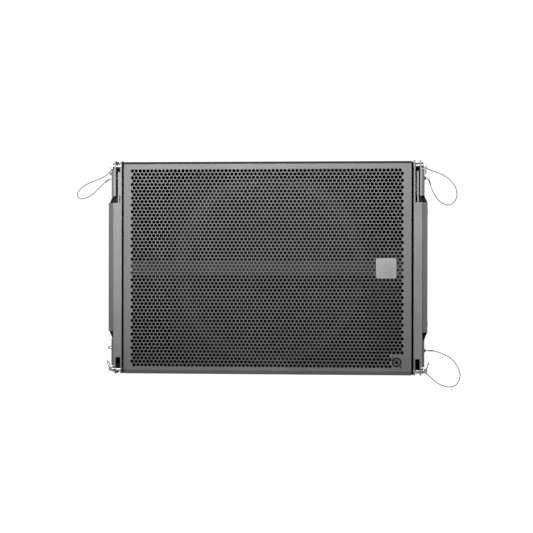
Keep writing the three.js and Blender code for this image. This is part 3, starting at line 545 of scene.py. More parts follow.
def mirrored(source: bpy.types.Object, name: str, side: Side, end: End) -> bpy.types.Object:
    """Copy a front right piece to another corner, with its mesh in place.

    Args:
        source: The piece as built.
        name: The copy's name.
        side: Which side it goes to.
        end: Front or rear.

    Returns:
        The copy.
    """
    mesh = source.data.copy()
    mesh.transform(Matrix.Diagonal((side.value, end.value, 1.0, 1.0)))
    if side.value * end.value < 0:
        mesh.flip_normals()
    return link_mesh(name, mesh)


# ------------------------------------------------------------------ node helpers


class Wiring:
    """Adds and joins nodes in one tree."""

    def __init__(self, tree: bpy.types.NodeTree) -> None:
        """Take the tree to work in."""
        self.tree = tree

    def add(self, kind: str, **settings: object) -> bpy.types.Node:
        """Make a node and set its own properties."""
        node = self.tree.nodes.new(kind)
        for key, value in settings.items():
            setattr(node, key, value)
        return node

    def feed(self, target: bpy.types.NodeSocket, value: object) -> None:
        """Give a socket a link or a constant."""
        if isinstance(value, bpy.types.NodeSocket):
            self.tree.links.new(value, target)
        elif value is not None:
            target.default_value = value

    def math(self, operation: str, *values: object, clamp: bool = False) -> bpy.types.NodeSocket:
        """A value worked out from one to three others."""
        kind = "ShaderNodeMath"
        node = self.add(kind, operation=operation, use_clamp=clamp)
        for target, value in zip(node.inputs, values):
            self.feed(target, value)
        return node.outputs[0]

    def vector(self, operation: str, *values: object) -> bpy.types.NodeSocket:
        """A vector worked out from others."""
        node = self.add("ShaderNodeVectorMath", operation=operation)
        for target, value in zip(node.inputs, values):
            self.feed(target, value)
        return node.outputs["Value"] if operation == "DOT_PRODUCT" else node.outputs["Vector"]

    def noise(
        self, vector: object, scale: object, detail: float = 3.0, rough: float = 0.55
    ) -> bpy.types.NodeSocket:
        """Noise from nought to one."""
        node = self.add("ShaderNodeTexNoise")
        self.feed(node.inputs["Vector"], vector)
        self.feed(node.inputs["Scale"], scale)
        node.inputs["Detail"].default_value = detail
        node.inputs["Roughness"].default_value = rough
        return node.outputs[0]

    def span(
        self, value: object, low: float, high: float, to_low: float = 0.0, to_high: float = 1.0
    ) -> bpy.types.NodeSocket:
        """Map a range smoothly onto another."""
        node = self.add("ShaderNodeMapRange", interpolation_type="SMOOTHSTEP")
        for target, item in zip(node.inputs, (value, low, high, to_low, to_high)):
            self.feed(target, item)
        return node.outputs[0]

    def mix(self, factor: object, first: object, second: object) -> bpy.types.NodeSocket:
        """Blend two colours."""
        node = self.add("ShaderNodeMix", data_type="RGBA")
        self.feed(node.inputs["Factor"], factor)
        for target, item in ((node.inputs[6], first), (node.inputs[7], second)):
            value = (*item, 1.0) if isinstance(item, tuple) and len(item) == 3 else item
            self.feed(target, value)
        return node.outputs[2]


def open_group(name: str, inputs: Sequence[tuple], outputs: Sequence[tuple]) -> tuple[Wiring, dict, dict]:
    """Start a shader group.

    Args:
        name: The group's name.
        inputs: (name, socket type, default) for each input.
        outputs: (name, socket type) for each output.

    Returns:
        The wiring, the input sockets and the output sockets by name.
    """
    tree = bpy.data.node_groups.new(name, "ShaderNodeTree")
    for label, kind, default in inputs:
        made = tree.interface.new_socket(label, in_out="INPUT", socket_type=kind)
        if default is not None:
            made.default_value = default
    for label, kind in outputs:
        tree.interface.new_socket(label, in_out="OUTPUT", socket_type=kind)
    wire = Wiring(tree)
    entry, leave = wire.add("NodeGroupInput"), wire.add("NodeGroupOutput")
    return wire, {s.name: s for s in entry.outputs}, {s.name: s for s in leave.inputs}


def grain_group() -> bpy.types.NodeTree:
    """Sprayed coat: a pebbled height, fine specks and broad unevenness."""
    wire, given, out = open_group(
        "coat grain",
        [("Vector", "NodeSocketVector", None), ("Per Metre", "NodeSocketFloat", 1000.0)],
        [("Height", "NodeSocketFloat"), ("Speck", "NodeSocketFloat"), ("Cloud", "NodeSocketFloat")],
    )
    fine = wire.noise(given["Vector"], given["Per Metre"], 4.0, 0.6)
    cells = wire.add("ShaderNodeTexVoronoi", feature="SMOOTH_F1")
    wire.feed(cells.inputs["Vector"], given["Vector"])
    wire.feed(cells.inputs["Scale"], wire.math("MULTIPLY", given["Per Metre"], 0.7))
    pebble = wire.math("SUBTRACT", 1.0, cells.outputs["Distance"], clamp=True)
    wire.feed(
        out["Height"],
        wire.math("ADD", wire.math("MULTIPLY", fine, 0.55), wire.math("MULTIPLY", pebble, 0.45))
    )
    wire.feed(
        out["Speck"],
        wire.span(
            wire.noise(given["Vector"], wire.math("MULTIPLY", given["Per Metre"], 0.45), 2.0), 0.6, 0.72
        )
    )
    wire.feed(out["Cloud"], wire.noise(given["Vector"], 7.0, 4.0, 0.6))
    return wire.tree


def wear_group() -> bpy.types.NodeTree:
    """Rubbed edges: a mask along convex edges, broken up by noise."""
    wire, given, out = open_group(
        "edge wear",
        [
            ("Vector", "NodeSocketVector", None), ("Radius", "NodeSocketFloat", 0.0012),
            ("Amount", "NodeSocketFloat", 0.5)
        ],
        [("Mask", "NodeSocketFloat")],
    )
    rounding = wire.add("ShaderNodeBevel", samples=4)
    wire.feed(rounding.inputs["Radius"], given["Radius"])
    surface = wire.add("ShaderNodeNewGeometry")
    alike = wire.vector("DOT_PRODUCT", rounding.outputs[0], surface.outputs["Normal"])
    edge = wire.span(alike, 0.999, 0.9, 0.0, 1.0)
    broken = wire.span(wire.noise(given["Vector"], 260.0, 5.0, 0.65), 0.42, 0.66)
    patchy = wire.span(wire.noise(given["Vector"], 24.0, 2.0), 0.35, 0.7)
    both = wire.math(
        "MULTIPLY", wire.math("MULTIPLY", edge, broken),
        wire.math("ADD", 0.35, wire.math("MULTIPLY", patchy, 0.65))
    )
    wire.feed(out["Mask"], wire.math("MULTIPLY", both, given["Amount"], clamp=True))
    return wire.tree


def scratch_group() -> bpy.types.NodeTree:
    """Hairline scratches in two directions."""
    wire, given, out = open_group(
        "fine scratches",
        [("Vector", "NodeSocketVector", None), ("Amount", "NodeSocketFloat", 0.3)],
        [("Mask", "NodeSocketFloat")],
    )
    masks = []
    for stretch in ((30.0, 30.0, 900.0), (900.0, 240.0, 26.0)):
        streaks = wire.noise(wire.vector("MULTIPLY", given["Vector"], stretch), 1.0, 2.0)
        masks.append(wire.span(wire.math("ABSOLUTE", wire.math("SUBTRACT", streaks, 0.5)), 0.012, 0.002))
    where = wire.span(wire.noise(given["Vector"], 18.0, 3.0), 0.5, 0.72)
    lines = wire.math("MULTIPLY", wire.math("MAXIMUM", *masks), where)
    wire.feed(out["Mask"], wire.math("MULTIPLY", lines, given["Amount"], clamp=True))
    return wire.tree


def dust_group() -> bpy.types.NodeTree:
    """Dust that settles on what faces up."""
    wire, given, out = open_group(
        "settled dust",
        [("Vector", "NodeSocketVector", None), ("Amount", "NodeSocketFloat", 0.1)],
        [("Mask", "NodeSocketFloat")],
    )
    surface = wire.add("ShaderNodeNewGeometry")
    up = wire.vector("DOT_PRODUCT", surface.outputs["Normal"], (0.0, 0.0, 1.0))
    facing = wire.span(up, 0.2, 0.95)
    drift = wire.span(wire.noise(given["Vector"], 34.0, 6.0, 0.7), 0.3, 0.75)
    wire.feed(
        out["Mask"], wire.math("MULTIPLY", wire.math("MULTIPLY", facing, drift), given["Amount"], clamp=True)
    )
    return wire.tree


@dataclass(frozen=True)
class Finish:
    """One surface finish.

    Attributes:
        slot: The record's material slot.
        colour: Base colour, linear.
        roughness: Of the clean surface.
        metallic: 0 for paint and plastic, 1 for bare metal.
        grain: Size of the grain, in millimetres.
        relief: Height of the grain, in millimetres.
        cloud: Share by which the colour drifts over the piece.
        wear: Strength of rubbed edges.
        worn: Colour under the coat.
        worn_metallic: Metallic value under the coat.
        scratches: Strength of hairline scratches.
        dust: Strength of settled dust.
        speck: Share by which specks lighten the colour.
        gloss: Specular level of the clean surface.
        pattern: Figure on top of the grain.
    """

    slot: str
    colour: tuple[float, float, float]
    roughness: float
    metallic: float = 0.0
    grain: float = 0.8
    relief: float = 0.02
    cloud: float = 0.1
    wear: float = 0.4
    worn: tuple[float, float, float] = (0.32, 0.32, 0.33)
    worn_metallic: float = 0.6
    scratches: float = 0.25
    dust: float = 0.08
    speck: float = 0.1
    gloss: float = 0.5
    pattern: Pattern = Pattern.PLAIN

    def material(self, groups: dict[str, bpy.types.NodeTree], name: str) -> bpy.types.Material:
        """Build the shader.

        Args:
            groups: Shared node groups by name.
            name: The material's name.

        Returns:
            The finished material.
        """
        made = bpy.data.materials.new(name)
        made.use_nodes = True
        wire = Wiring(made.node_tree)
        shader = made.node_tree.nodes["Principled BSDF"]
        shader.inputs["Specular IOR Level"].default_value = self.gloss
        place = wire.add("ShaderNodeTexCoord").outputs["Object"]
        grain = self._use(wire, groups["grain"], place, {"Per Metre": 1000.0 / self.grain})
        wear = self._use(wire, groups["wear"], place, {"Amount": self.wear})["Mask"]
        marks = self._use(wire, groups["scratch"], place, {"Amount": self.scratches})["Mask"]
        dust = self._use(wire, groups["dust"], place, {"Amount": self.dust})["Mask"]
        # light: the pattern's lightness, with painted groove shade and crown light for strands, weave and
        # winding
        light, relief = self._figure(wire, place)
        drift = wire.span(grain["Cloud"], 0.3, 0.7, 1.0 - self.cloud, 1.0 + self.cloud)
        tint = wire.math(
            "ADD", wire.math("MULTIPLY", drift, light), wire.math("MULTIPLY", grain["Speck"], self.speck)
        )
        shade = wire.vector("SCALE", self.colour)
        wire.feed(shade.node.inputs["Scale"], tint)
        rubbed = wire.math("ADD", wear, wire.math("MULTIPLY", marks, 0.5), clamp=True)
        coat = wire.mix(rubbed, shade, self.worn)
        wire.feed(shader.inputs["Base Color"], wire.mix(dust, coat, (0.36, 0.34, 0.31)))
        metal = wire.math(
            "ADD", self.metallic, wire.math("MULTIPLY", rubbed, self.worn_metallic - self.metallic),
            clamp=True
        )
        wire.feed(shader.inputs["Metallic"], metal)
        rough = wire.math(
            "ADD", wire.span(grain["Cloud"], 0.25, 0.75, self.roughness - 0.07, self.roughness + 0.07),
            wire.math("MULTIPLY", dust, 0.4)
        )
        rough = wire.math("SUBTRACT", rough, wire.math("MULTIPLY", rubbed, self.roughness * 0.3), clamp=True)
        wire.feed(shader.inputs["Roughness"], rough)
        height = wire.math("ADD", wire.math("MULTIPLY", grain["Height"], self.relief), relief)
        height = wire.math("SUBTRACT", height, wire.math("MULTIPLY", marks, 0.02))
        bump = wire.add("ShaderNodeBump")
        bump.inputs["Strength"].default_value = 1.0
        bump.inputs["Distance"].default_value = MM
        wire.feed(bump.inputs["Height"], height)
        wire.feed(shader.inputs["Normal"], bump.outputs[0])
        return made

    def _use(
        self, wire: Wiring, group: bpy.types.NodeTree, place: bpy.types.NodeSocket, values: dict[str, float]
    ) -> dict:
        """Add a shared group and return its outputs by name."""
        node = wire.add("ShaderNodeGroup")
        node.node_tree = group
        wire.feed(node.inputs["Vector"], place)
        for key, value in values.items():
            node.inputs[key].default_value = value
        return {s.name: s for s in node.outputs}

    def _figure(
        self, wire: Wiring, place: bpy.types.NodeSocket
    ) -> tuple[bpy.types.NodeSocket, bpy.types.NodeSocket]:
        """Lightness factor and relief in millimetres of this finish's pattern. For strands, weave and winding
        the lightness is painted shade in the grooves and painted light on the crowns; for brushing it is the
        metal's own streaked tone.
        """
        if self.pattern is Pattern.BRUSHED:
            lines = wire.noise(wire.vector("MULTIPLY", place, (60.0, 2600.0, 2600.0)), 1.0, 4.0, 0.7)
            return wire.span(lines, 0.25, 0.75, 0.86, 1.14), wire.math("MULTIPLY", lines, 0.012)
        # painted shade between the rope's strands, painted light on their crowns
        if self.pattern is Pattern.STRANDED:
            uv = wire.add("ShaderNodeUVMap", uv_map="rope")
            parts = wire.add("ShaderNodeSeparateXYZ")
            wire.feed(parts.inputs[0], uv.outputs[0])
            turn = wire.math(
                "ADD", wire.math("MULTIPLY", parts.outputs[0], 1100.0),
                wire.math("MULTIPLY", parts.outputs[1], 2 * math.pi * 6)
            )
            strand = wire.math("ABSOLUTE", wire.math("SINE", wire.math("MULTIPLY", turn, 0.5)))
            return wire.span(strand, 0.0, 0.6, 0.35, 1.1), wire.math("MULTIPLY", strand, 0.12)
        # painted shade between the threads, painted light where they cross on top
        if self.pattern is Pattern.WOVEN:
            pitch = 2600.0
            parts = wire.add("ShaderNodeSeparateXYZ")
            wire.feed(parts.inputs[0], place)
            first = wire.math(
                "SINE", wire.math("MULTIPLY", wire.math("ADD", parts.outputs[0], parts.outputs[2]), pitch)
            )
            second = wire.math(
                "SINE",
                wire.math("MULTIPLY", wire.math("SUBTRACT", parts.outputs[2], parts.outputs[1]), pitch)
            )
            weave = wire.math("MULTIPLY", wire.math("ADD", first, second), 0.5)
            return wire.span(weave, -1.0, 1.0, 0.8, 1.15), wire.math("MULTIPLY", weave, 0.06)
        # painted shade between the coil's turns, painted light on the wire
        if self.pattern is Pattern.WOUND:
            parts = wire.add("ShaderNodeSeparateXYZ")
            wire.feed(parts.inputs[0], place)
            turns = wire.math("SINE", wire.math("MULTIPLY", parts.outputs[1], 9000.0))
            return wire.span(turns, -1.0, 0.4, 0.5, 1.1), wire.math("MULTIPLY", turns, 0.08)
        return wire.math("ADD", 1.0, 0.0), wire.math("ADD", 0.0, 0.0)


FINISHES: dict[str, Finish] = {
    "shell": Finish(
        "textured_coat", (0.02, 0.0204, 0.0214), 0.72, grain=1.7, relief=0.34, cloud=0.08, wear=0.12,
        scratches=0.1, speck=0.25, dust=0.05, gloss=0.35
    ),
    "brace": Finish(
        "textured_coat", (0.024, 0.0245, 0.026), 0.8, grain=1.7, relief=0.3, wear=0.0, scratches=0.0,
        dust=0.02, speck=0.2, gloss=0.15
    ),
    "coat": Finish(
        "textured_coat", (0.095, 0.096, 0.099), 0.78, grain=2.4, relief=0.5, cloud=0.08, wear=0.3,
        scratches=0.15, speck=0.4
    ),
    "grille": Finish(
        "grille_steel", (0.12, 0.121, 0.125), 0.52, grain=0.7, relief=0.025, wear=0.1, scratches=0.1,
        dust=0.05, speck=0.05
    ),
    "rigging": Finish(
        "rigging_steel", (0.168, 0.17, 0.175), 0.48, grain=0.9, relief=0.03, wear=0.75, scratches=0.5,
        dust=0.12
    ),
    "link": Finish(
        "link_steel", (0.18, 0.182, 0.187), 0.45, metallic=0.1, grain=0.8, relief=0.02, wear=0.7,
        scratches=0.6, worn=(0.5, 0.5, 0.51)
    ),
    "bright": Finish(
        "bright_steel", (0.74, 0.745, 0.76), 0.26, metallic=1.0, grain=0.5, relief=0.008, cloud=0.06,
        wear=0.2, worn=(0.82, 0.82, 0.83), worn_metallic=1.0, scratches=0.7, dust=0.04, speck=0.0
    ),
    "ring": Finish(
        "bright_steel", (0.4, 0.405, 0.415), 0.34, metallic=0.9, grain=0.5, relief=0.008, wear=0.2,
        worn=(0.6, 0.6, 0.61), worn_metallic=1.0, scratches=0.6, dust=0.04, speck=0.0
    ),
    "rope": Finish(
        "wire_rope", (0.05, 0.051, 0.053), 0.45, metallic=0.1, grain=0.4, relief=0.01, wear=0.0,
        scratches=0.2, worn_metallic=0.6, dust=0.05, speck=0.0, gloss=0.35, pattern=Pattern.STRANDED
    ),
    "rope_end": Finish(
        "wire_rope", (0.08, 0.081, 0.084), 0.42, metallic=0.2, grain=0.4, relief=0.01, wear=0.0,
        scratches=0.3, dust=0.05, speck=0.0
    ),
    "crimp": Finish(
        "black_plastic", (0.02, 0.02, 0.022), 0.42, grain=0.5, relief=0.02, wear=0.35, worn=(0.3, 0.3, 0.31),
        scratches=0.4
    ),
    "badge": Finish(
        "badge_metal", (0.24, 0.244, 0.252), 0.42, metallic=0.55, grain=0.5, relief=0.008, wear=0.4,
        worn=(0.6, 0.6, 0.61), worn_metallic=0.9, scratches=0.35, speck=0.0, pattern=Pattern.BRUSHED
    ),
    "plastic": Finish(
        "black_plastic", (0.022, 0.022, 0.024), 0.46, grain=0.6, relief=0.05, wear=0.2,
        worn=(0.09, 0.09, 0.095), worn_metallic=0.0, scratches=0.3
    ),
    # near-black painted shade: fills the rigging gap and the pockets, and darkens the handle cups' own black
    # in their recess
    "void": Finish(
        "black_plastic", (0.005, 0.005, 0.0055), 0.7, grain=0.6, relief=0.05, wear=0.0, scratches=0.1,
        dust=0.02, gloss=0.1
    ),
    "socket": Finish(
        "black_plastic", (0.009, 0.009, 0.01), 0.5, grain=0.6, relief=0.03, wear=0.1,
        worn=(0.05, 0.05, 0.055), worn_metallic=0.0, scratches=0.2, dust=0.03, gloss=0.3
    ),
    # black plywood darkened further: painted shade inside the cabinet
    "ply": Finish(
        "plywood", (0.004, 0.0039, 0.0038), 0.9, grain=1.2, relief=0.12, cloud=0.3, wear=0.1,
        worn=(0.04, 0.03, 0.02), worn_metallic=0.0, scratches=0.0, dust=0.01, gloss=0.08
    ),
    # black basket and its screws darkened further: painted shade inside the cabinet
    "cast": Finish(
        "cast_basket", (0.006, 0.006, 0.0065), 0.6, metallic=0.1, grain=1.2, relief=0.08, wear=0.15,
        scratches=0.1, dust=0.02, gloss=0.15
    ),
    "magnet": Finish(
        "magnet_steel", (0.06, 0.06, 0.064), 0.42, metallic=0.6, grain=1.0, relief=0.05, wear=0.5,
        scratches=0.4
    ),
    # black cone darkened further: painted shade inside the cabinet
    "paper": Finish(
        "cone_paper", (0.0045, 0.0045, 0.0048), 0.9, grain=2.2, relief=0.16, cloud=0.2, wear=0.0,
        scratches=0.0, dust=0.01, speck=0.3, gloss=0.08
    ),
    # black surround darkened further: painted shade inside the cabinet
    "cloth": Finish(
        "surround_cloth", (0.0045, 0.0045, 0.0048), 0.8, grain=0.9, relief=0.05, wear=0.0, scratches=0.0,
        dust=0.01, gloss=0.1, pattern=Pattern.WOVEN
    ),
    "spider": Finish(
        "spider_cloth", (0.26, 0.17, 0.085), 0.92, grain=0.8, relief=0.05, wear=0.0, scratches=0.0, dust=0.15,
        pattern=Pattern.WOVEN
    ),
    "coil": Finish(
        "coil_copper", (0.55, 0.28, 0.14), 0.36, metallic=0.9, grain=0.6, relief=0.01, wear=0.0,
        scratches=0.1, speck=0.0, pattern=Pattern.WOUND
    ),
}


class Paintshop:
    """Builds each finish once and puts finished pieces on their bodies."""

    def __init__(self) -> None:
        """Make the shared groups."""
        self.groups = {
            "grain": grain_group(), "wear": wear_group(), "scratch": scratch_group(), "dust": dust_group()
        }
        self.made: dict[str, bpy.types.Material] = {}

    def material(self, finish: str) -> bpy.types.Material:
        """The material of a named finish."""
        if finish not in self.made:
            self.made[finish] = FINISHES[finish].material(self.groups, finish)
        return self.made[finish]

    def dress(self, obj: bpy.types.Object, finish: str) -> bpy.types.Object:
        """Give an object one finish all over."""
        obj.data.materials.clear()
        obj.data.materials.append(self.material(finish))
        for face in obj.data.polygons:
            face.material_index = 0
        FINISHES[finish].slot
        return obj

    def deliver(
        self, obj: bpy.types.Object, finish: str, body: str = "cabinet", replaces: Sequence[str] = ()
    ) -> bpy.types.Object:
        """Dress a piece, set it on its body and report it.

        Args:
            obj: The finished piece.
            finish: Which finish it gets.
            body: The CAD body it moves with.
            replaces: CAD nodes it stands for.

        Returns:
            The piece.
        """
        self.dress(obj, finish)
        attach(obj, body)
        if replaces:
            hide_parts(*replaces)
        LOG.info("%s on %s: %d faces, %s", obj.name, body, len(obj.data.polygons), finish)
        return obj

    def keep(self, node: str, finish: str) -> None:
        """Show a CAD node as it is, in a finish."""
        self.dress(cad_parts[node], finish)
        LOG.info("%s kept from CAD, %s", node, finish)


# ------------------------------------------------------------------ repeated details


class GeometryTree:
    """A geometry node tree with named inputs, run once on a carrier mesh."""

    def __init__(self, name: str, inputs: Sequence[tuple[str, str]]) -> None:
        """Start a tree.

        Args:
            name: The tree's name.
            inputs: (name, socket type) of each input after the geometry.
        """
        tree = bpy.data.node_groups.new(name, "GeometryNodeTree")
        tree.interface.new_socket("Geometry", in_out="INPUT", socket_type="NodeSocketGeometry")
        tree.interface.new_socket("Geometry", in_out="OUTPUT", socket_type="NodeSocketGeometry")
        self.sockets = {}
        for label, kind in inputs:
            self.sockets[label] = tree.interface.new_socket(
                label, in_out="INPUT", socket_type=kind
            ).identifier
        self.wire = Wiring(tree)
        self.given = self.wire.add("NodeGroupInput").outputs
        self.out = self.wire.add("NodeGroupOutput").inputs[0]

    def close(self, geometry: bpy.types.NodeSocket, realise: bool = True) -> None:
        """End the tree with Realize Instances and Set Material."""
        if realise:
            step = self.wire.add("GeometryNodeRealizeInstances")
            self.wire.feed(step.inputs[0], geometry)
            geometry = step.outputs[0]
        paint = self.wire.add("GeometryNodeSetMaterial")
        self.wire.feed(paint.inputs["Geometry"], geometry)
        self.wire.feed(paint.inputs["Material"], self.given["Material"])
        self.wire.feed(self.out, paint.outputs[0])

    def run(self, carrier: bpy.types.Object, values: dict[str, object]) -> bpy.types.Object:
        """Set the inputs, evaluate, and keep the result as the carrier's mesh."""
        step = carrier.modifiers.new(self.wire.tree.name, "NODES")
        step.node_group = self.wire.tree
        for label, value in values.items():
            step[self.sockets[label]] = value
        carrier.update_tag()
        bpy.context.view_layer.update()
        return apply_modifiers(carrier)


def perforated_sheet_tree() -> GeometryTree:
    """A flat sheet with staggered rows of round holes and a plain corner round one large hole.

    The sheet is made in X and Y about the origin, thickened along +Z.
    """
    floats = ("Width", "Height", "Thickness", "Pitch", "Row Pitch", "First X", "First Y", "Hole Radius",
              "Plain Beyond X", "Plain Below Y", "Large X", "Large Y", "Large Radius")
    inputs = [(label, "NodeSocketFloat") for label in floats]
    tree = GeometryTree(
        "perforated sheet",
        inputs + [("Columns", "NodeSocketInt"), ("Rows", "NodeSocketInt"), ("Material", "NodeSocketMaterial")]
    )
    wire, given = tree.wire, tree.given

    def vector(x: object, y: object, z: object = 0.0) -> bpy.types.NodeSocket:
        node = wire.add("ShaderNodeCombineXYZ")
        for target, value in zip(node.inputs, (x, y, z)):
            wire.feed(target, value)
        return node.outputs[0]

    grid = wire.add("GeometryNodeMeshGrid")
    span_x = wire.math("MULTIPLY", wire.math("SUBTRACT", given["Columns"], 1.0), given["Pitch"])
    span_y = wire.math("MULTIPLY", wire.math("SUBTRACT", given["Rows"], 1.0), given["Row Pitch"])
    wire.feed(grid.inputs["Size X"], span_x)
    wire.feed(grid.inputs["Size Y"], span_y)
    wire.feed(grid.inputs["Vertices X"], given["Columns"])
    wire.feed(grid.inputs["Vertices Y"], given["Rows"])
    where = wire.add("GeometryNodeInputPosition").outputs[0]
    parts = wire.add("ShaderNodeSeparateXYZ")
    wire.feed(parts.inputs[0], where)
    from_top = wire.math("SUBTRACT", wire.math("MULTIPLY", span_y, 0.5), parts.outputs[1])
    row = wire.math("ROUND", wire.math("DIVIDE", from_top, given["Row Pitch"]))
    stagger = wire.math("MULTIPLY", wire.math("MODULO", row, 2.0), wire.math("MULTIPLY", given["Pitch"], 0.5))
    shift_x = wire.math(
        "ADD", wire.math("ADD", given["First X"], wire.math("MULTIPLY", span_x, 0.5)), stagger
    )
    shift_y = wire.math("SUBTRACT", given["First Y"], wire.math("MULTIPLY", span_y, 0.5))
    move = wire.add("GeometryNodeSetPosition")
    wire.feed(move.inputs["Geometry"], grid.outputs["Mesh"])
    wire.feed(move.inputs["Offset"], vector(shift_x, shift_y))
    beyond = wire.math("GREATER_THAN", parts.outputs[0], given["Plain Beyond X"])
    below = wire.math("LESS_THAN", parts.outputs[1], given["Plain Below Y"])
    drop = wire.add("GeometryNodeDeleteGeometry", domain="POINT")
    wire.feed(drop.inputs["Geometry"], move.outputs[0])
    wire.feed(drop.inputs["Selection"], wire.math("MULTIPLY", beyond, below))
    circle = wire.add("GeometryNodeCurvePrimitiveCircle")
    circle.inputs["Resolution"].default_value = 10
    wire.feed(circle.inputs["Radius"], given["Hole Radius"])
    holes = wire.add("GeometryNodeInstanceOnPoints")
    wire.feed(holes.inputs["Points"], drop.outputs[0])
    wire.feed(holes.inputs["Instance"], circle.outputs["Curve"])
    edge = wire.add("GeometryNodeCurvePrimitiveQuadrilateral")
    wire.feed(edge.inputs["Width"], given["Width"])
    wire.feed(edge.inputs["Height"], given["Height"])
    large = wire.add("GeometryNodeCurvePrimitiveCircle")
    large.inputs["Resolution"].default_value = 48
    wire.feed(large.inputs["Radius"], given["Large Radius"])
    place = wire.add("GeometryNodeTransform")
    wire.feed(place.inputs["Geometry"], large.outputs["Curve"])
    wire.feed(place.inputs["Translation"], vector(given["Large X"], given["Large Y"]))
    loops = wire.add("GeometryNodeJoinGeometry")
    realised = wire.add("GeometryNodeRealizeInstances")
    wire.feed(realised.inputs[0], holes.outputs[0])
    for item in (realised.outputs[0], edge.outputs[0], place.outputs[0]):
        wire.tree.links.new(item, loops.inputs[0])
    fill = wire.add("GeometryNodeFillCurve")
    wire.feed(fill.inputs["Curve"], loops.outputs[0])
    back = wire.add("GeometryNodeFlipFaces")
    wire.feed(back.inputs[0], fill.outputs[0])
    thick = wire.add("GeometryNodeExtrudeMesh", mode="FACES")
    wire.feed(thick.inputs["Mesh"], fill.outputs[0])
    wire.feed(thick.inputs["Offset"], vector(0.0, 0.0, 1.0))
    wire.feed(thick.inputs["Offset Scale"], given["Thickness"])
    thick.inputs["Individual"].default_value = False
    both = wire.add("GeometryNodeJoinGeometry")
    for item in (back.outputs[0], thick.outputs["Mesh"]):
        wire.tree.links.new(item, both.inputs[0])
    weld = wire.add("GeometryNodeMergeByDistance")
    wire.feed(weld.inputs["Geometry"], both.outputs[0])
    weld.inputs["Distance"].default_value = 1e-5
    tree.close(weld.outputs[0])
    return tree


def fastener_tree() -> GeometryTree:
    """Sets a screw head on every point, turned to face the point's own direction."""
    tree = GeometryTree(
        "fasteners",
        [("Head", "NodeSocketObject"), ("Seed", "NodeSocketInt"), ("Material", "NodeSocketMaterial")]
    )
    wire, given = tree.wire, tree.given
    points = wire.add("GeometryNodeMeshToPoints")
    wire.feed(points.inputs["Mesh"], given["Geometry"])
    facing = wire.add("GeometryNodeInputNamedAttribute", data_type="FLOAT_VECTOR")
    facing.inputs["Name"].default_value = "facing"
    turn = wire.add("FunctionNodeAlignRotationToVector", axis="Z")
    wire.feed(turn.inputs["Vector"], facing.outputs[0])
    head = wire.add("GeometryNodeObjectInfo")
    wire.feed(head.inputs["Object"], given["Head"])
    spin = wire.add("FunctionNodeRandomValue", data_type="FLOAT")
    spin.inputs["Min"].default_value = 0.0
    spin.inputs["Max"].default_value = 6.28
    wire.feed(spin.inputs["Seed"], given["Seed"])
    own = wire.add("FunctionNodeAxisAngleToRotation")
    own.inputs["Axis"].default_value = (0.0, 0.0, 1.0)
    wire.feed(own.inputs["Angle"], spin.outputs[1])
    both = wire.add("FunctionNodeRotateRotation", rotation_space="LOCAL")
    wire.feed(both.inputs["Rotation"], turn.outputs[0])
    wire.feed(both.inputs["Rotate By"], own.outputs[0])
    place = wire.add("GeometryNodeInstanceOnPoints")
    wire.feed(place.inputs["Points"], points.outputs[0])
    wire.feed(place.inputs["Instance"], head.outputs["Geometry"])
    wire.feed(place.inputs["Rotation"], both.outputs[0])
    tree.close(place.outputs[0])
    return tree


@dataclass(frozen=True)
class ScrewHead:
    """A round screw head with a hexagon recess.

    Attributes:
        radius: Of the head.
        height: Above its seat.
        recess: Across the recess' corners, halved.
    """

    radius: float
    height: float
    recess: float

    def build(self) -> bpy.types.Object:
        """The head about the origin, facing +Z."""
        r, h = self.radius, self.height
        half = [(0.0, 0.0), (r, 0.0), (r, h * 0.62), (r * 0.86, h), (self.recess, h)]
        sides = 12
        verts = [(0.0, 0.0, 0.0)]
        rings = []
        for radius, height in half[1:]:
            rings.append(range(len(verts), len(verts) + sides))
            verts += [(radius * math.cos(t), radius * math.sin(t), height)
                for t in (2 * math.pi * i / sides for i in range(sides))]
        floor = len(verts)
        verts += [(self.recess * math.cos(t), self.recess * math.sin(t), h * 0.35)
            for t in (2 * math.pi * i / sides for i in range(sides))]
        rings.append(range(floor, floor + sides))
        faces = [[0, rings[0][(i + 1) % sides], rings[0][i]] for i in range(sides)]
        for low, high in zip(rings, rings[1:]):
            faces += [[low[i], low[(i + 1) % sides], high[(i + 1) % sides], high[i]] for i in range(sides)]
        faces.append(list(rings[-1]))
        for i in (1, 3, 5, 7, 9, 11):
            for ring in (rings[-1], rings[-2]):
                x, y, z = verts[ring[i]]
                verts[ring[i]] = (x * 0.866, y * 0.866, z)
        return solid("screw_head", verts, faces)


class Fasteners:
    """Screw sets, one object for each group of points."""

    def __init__(self, shop: Paintshop) -> None:
        """Prepare the tree."""
        self.shop = shop
        self.tree = fastener_tree()

    def place(
        self, name: str, head: ScrewHead, spots: Sequence[tuple[Point, Point]], finish: str, seed: int,
        body: str = "cabinet"
    ) -> bpy.types.Object:
        """Set a head on each spot.

        Args:
            name: The set's name.
            head: Which head.
            spots: (place, direction) of each.
            finish: Which finish.
            seed: Fixes the way each recess is turned.
            body: The body that the set moves with.

        Returns:
            The set as one piece.
        """
        mesh = bpy.data.meshes.new(name)
        mesh.from_pydata([tuple(c * MM for c in place) for place, _ in spots], [], [])
        facing = mesh.attributes.new("facing", "FLOAT_VECTOR", "POINT")
        for item, (_, direction) in zip(facing.data, spots):
            item.vector = direction
        carrier = link_mesh(name, mesh)
        shape = head.build()
        self.tree.run(carrier, {"Head": shape, "Seed": seed, "Material": self.shop.material(finish)})
        discard(shape)
        smooth(carrier, 30)
        return self.shop.deliver(carrier, finish, body)


# ------------------------------------------------------------------ cabinet


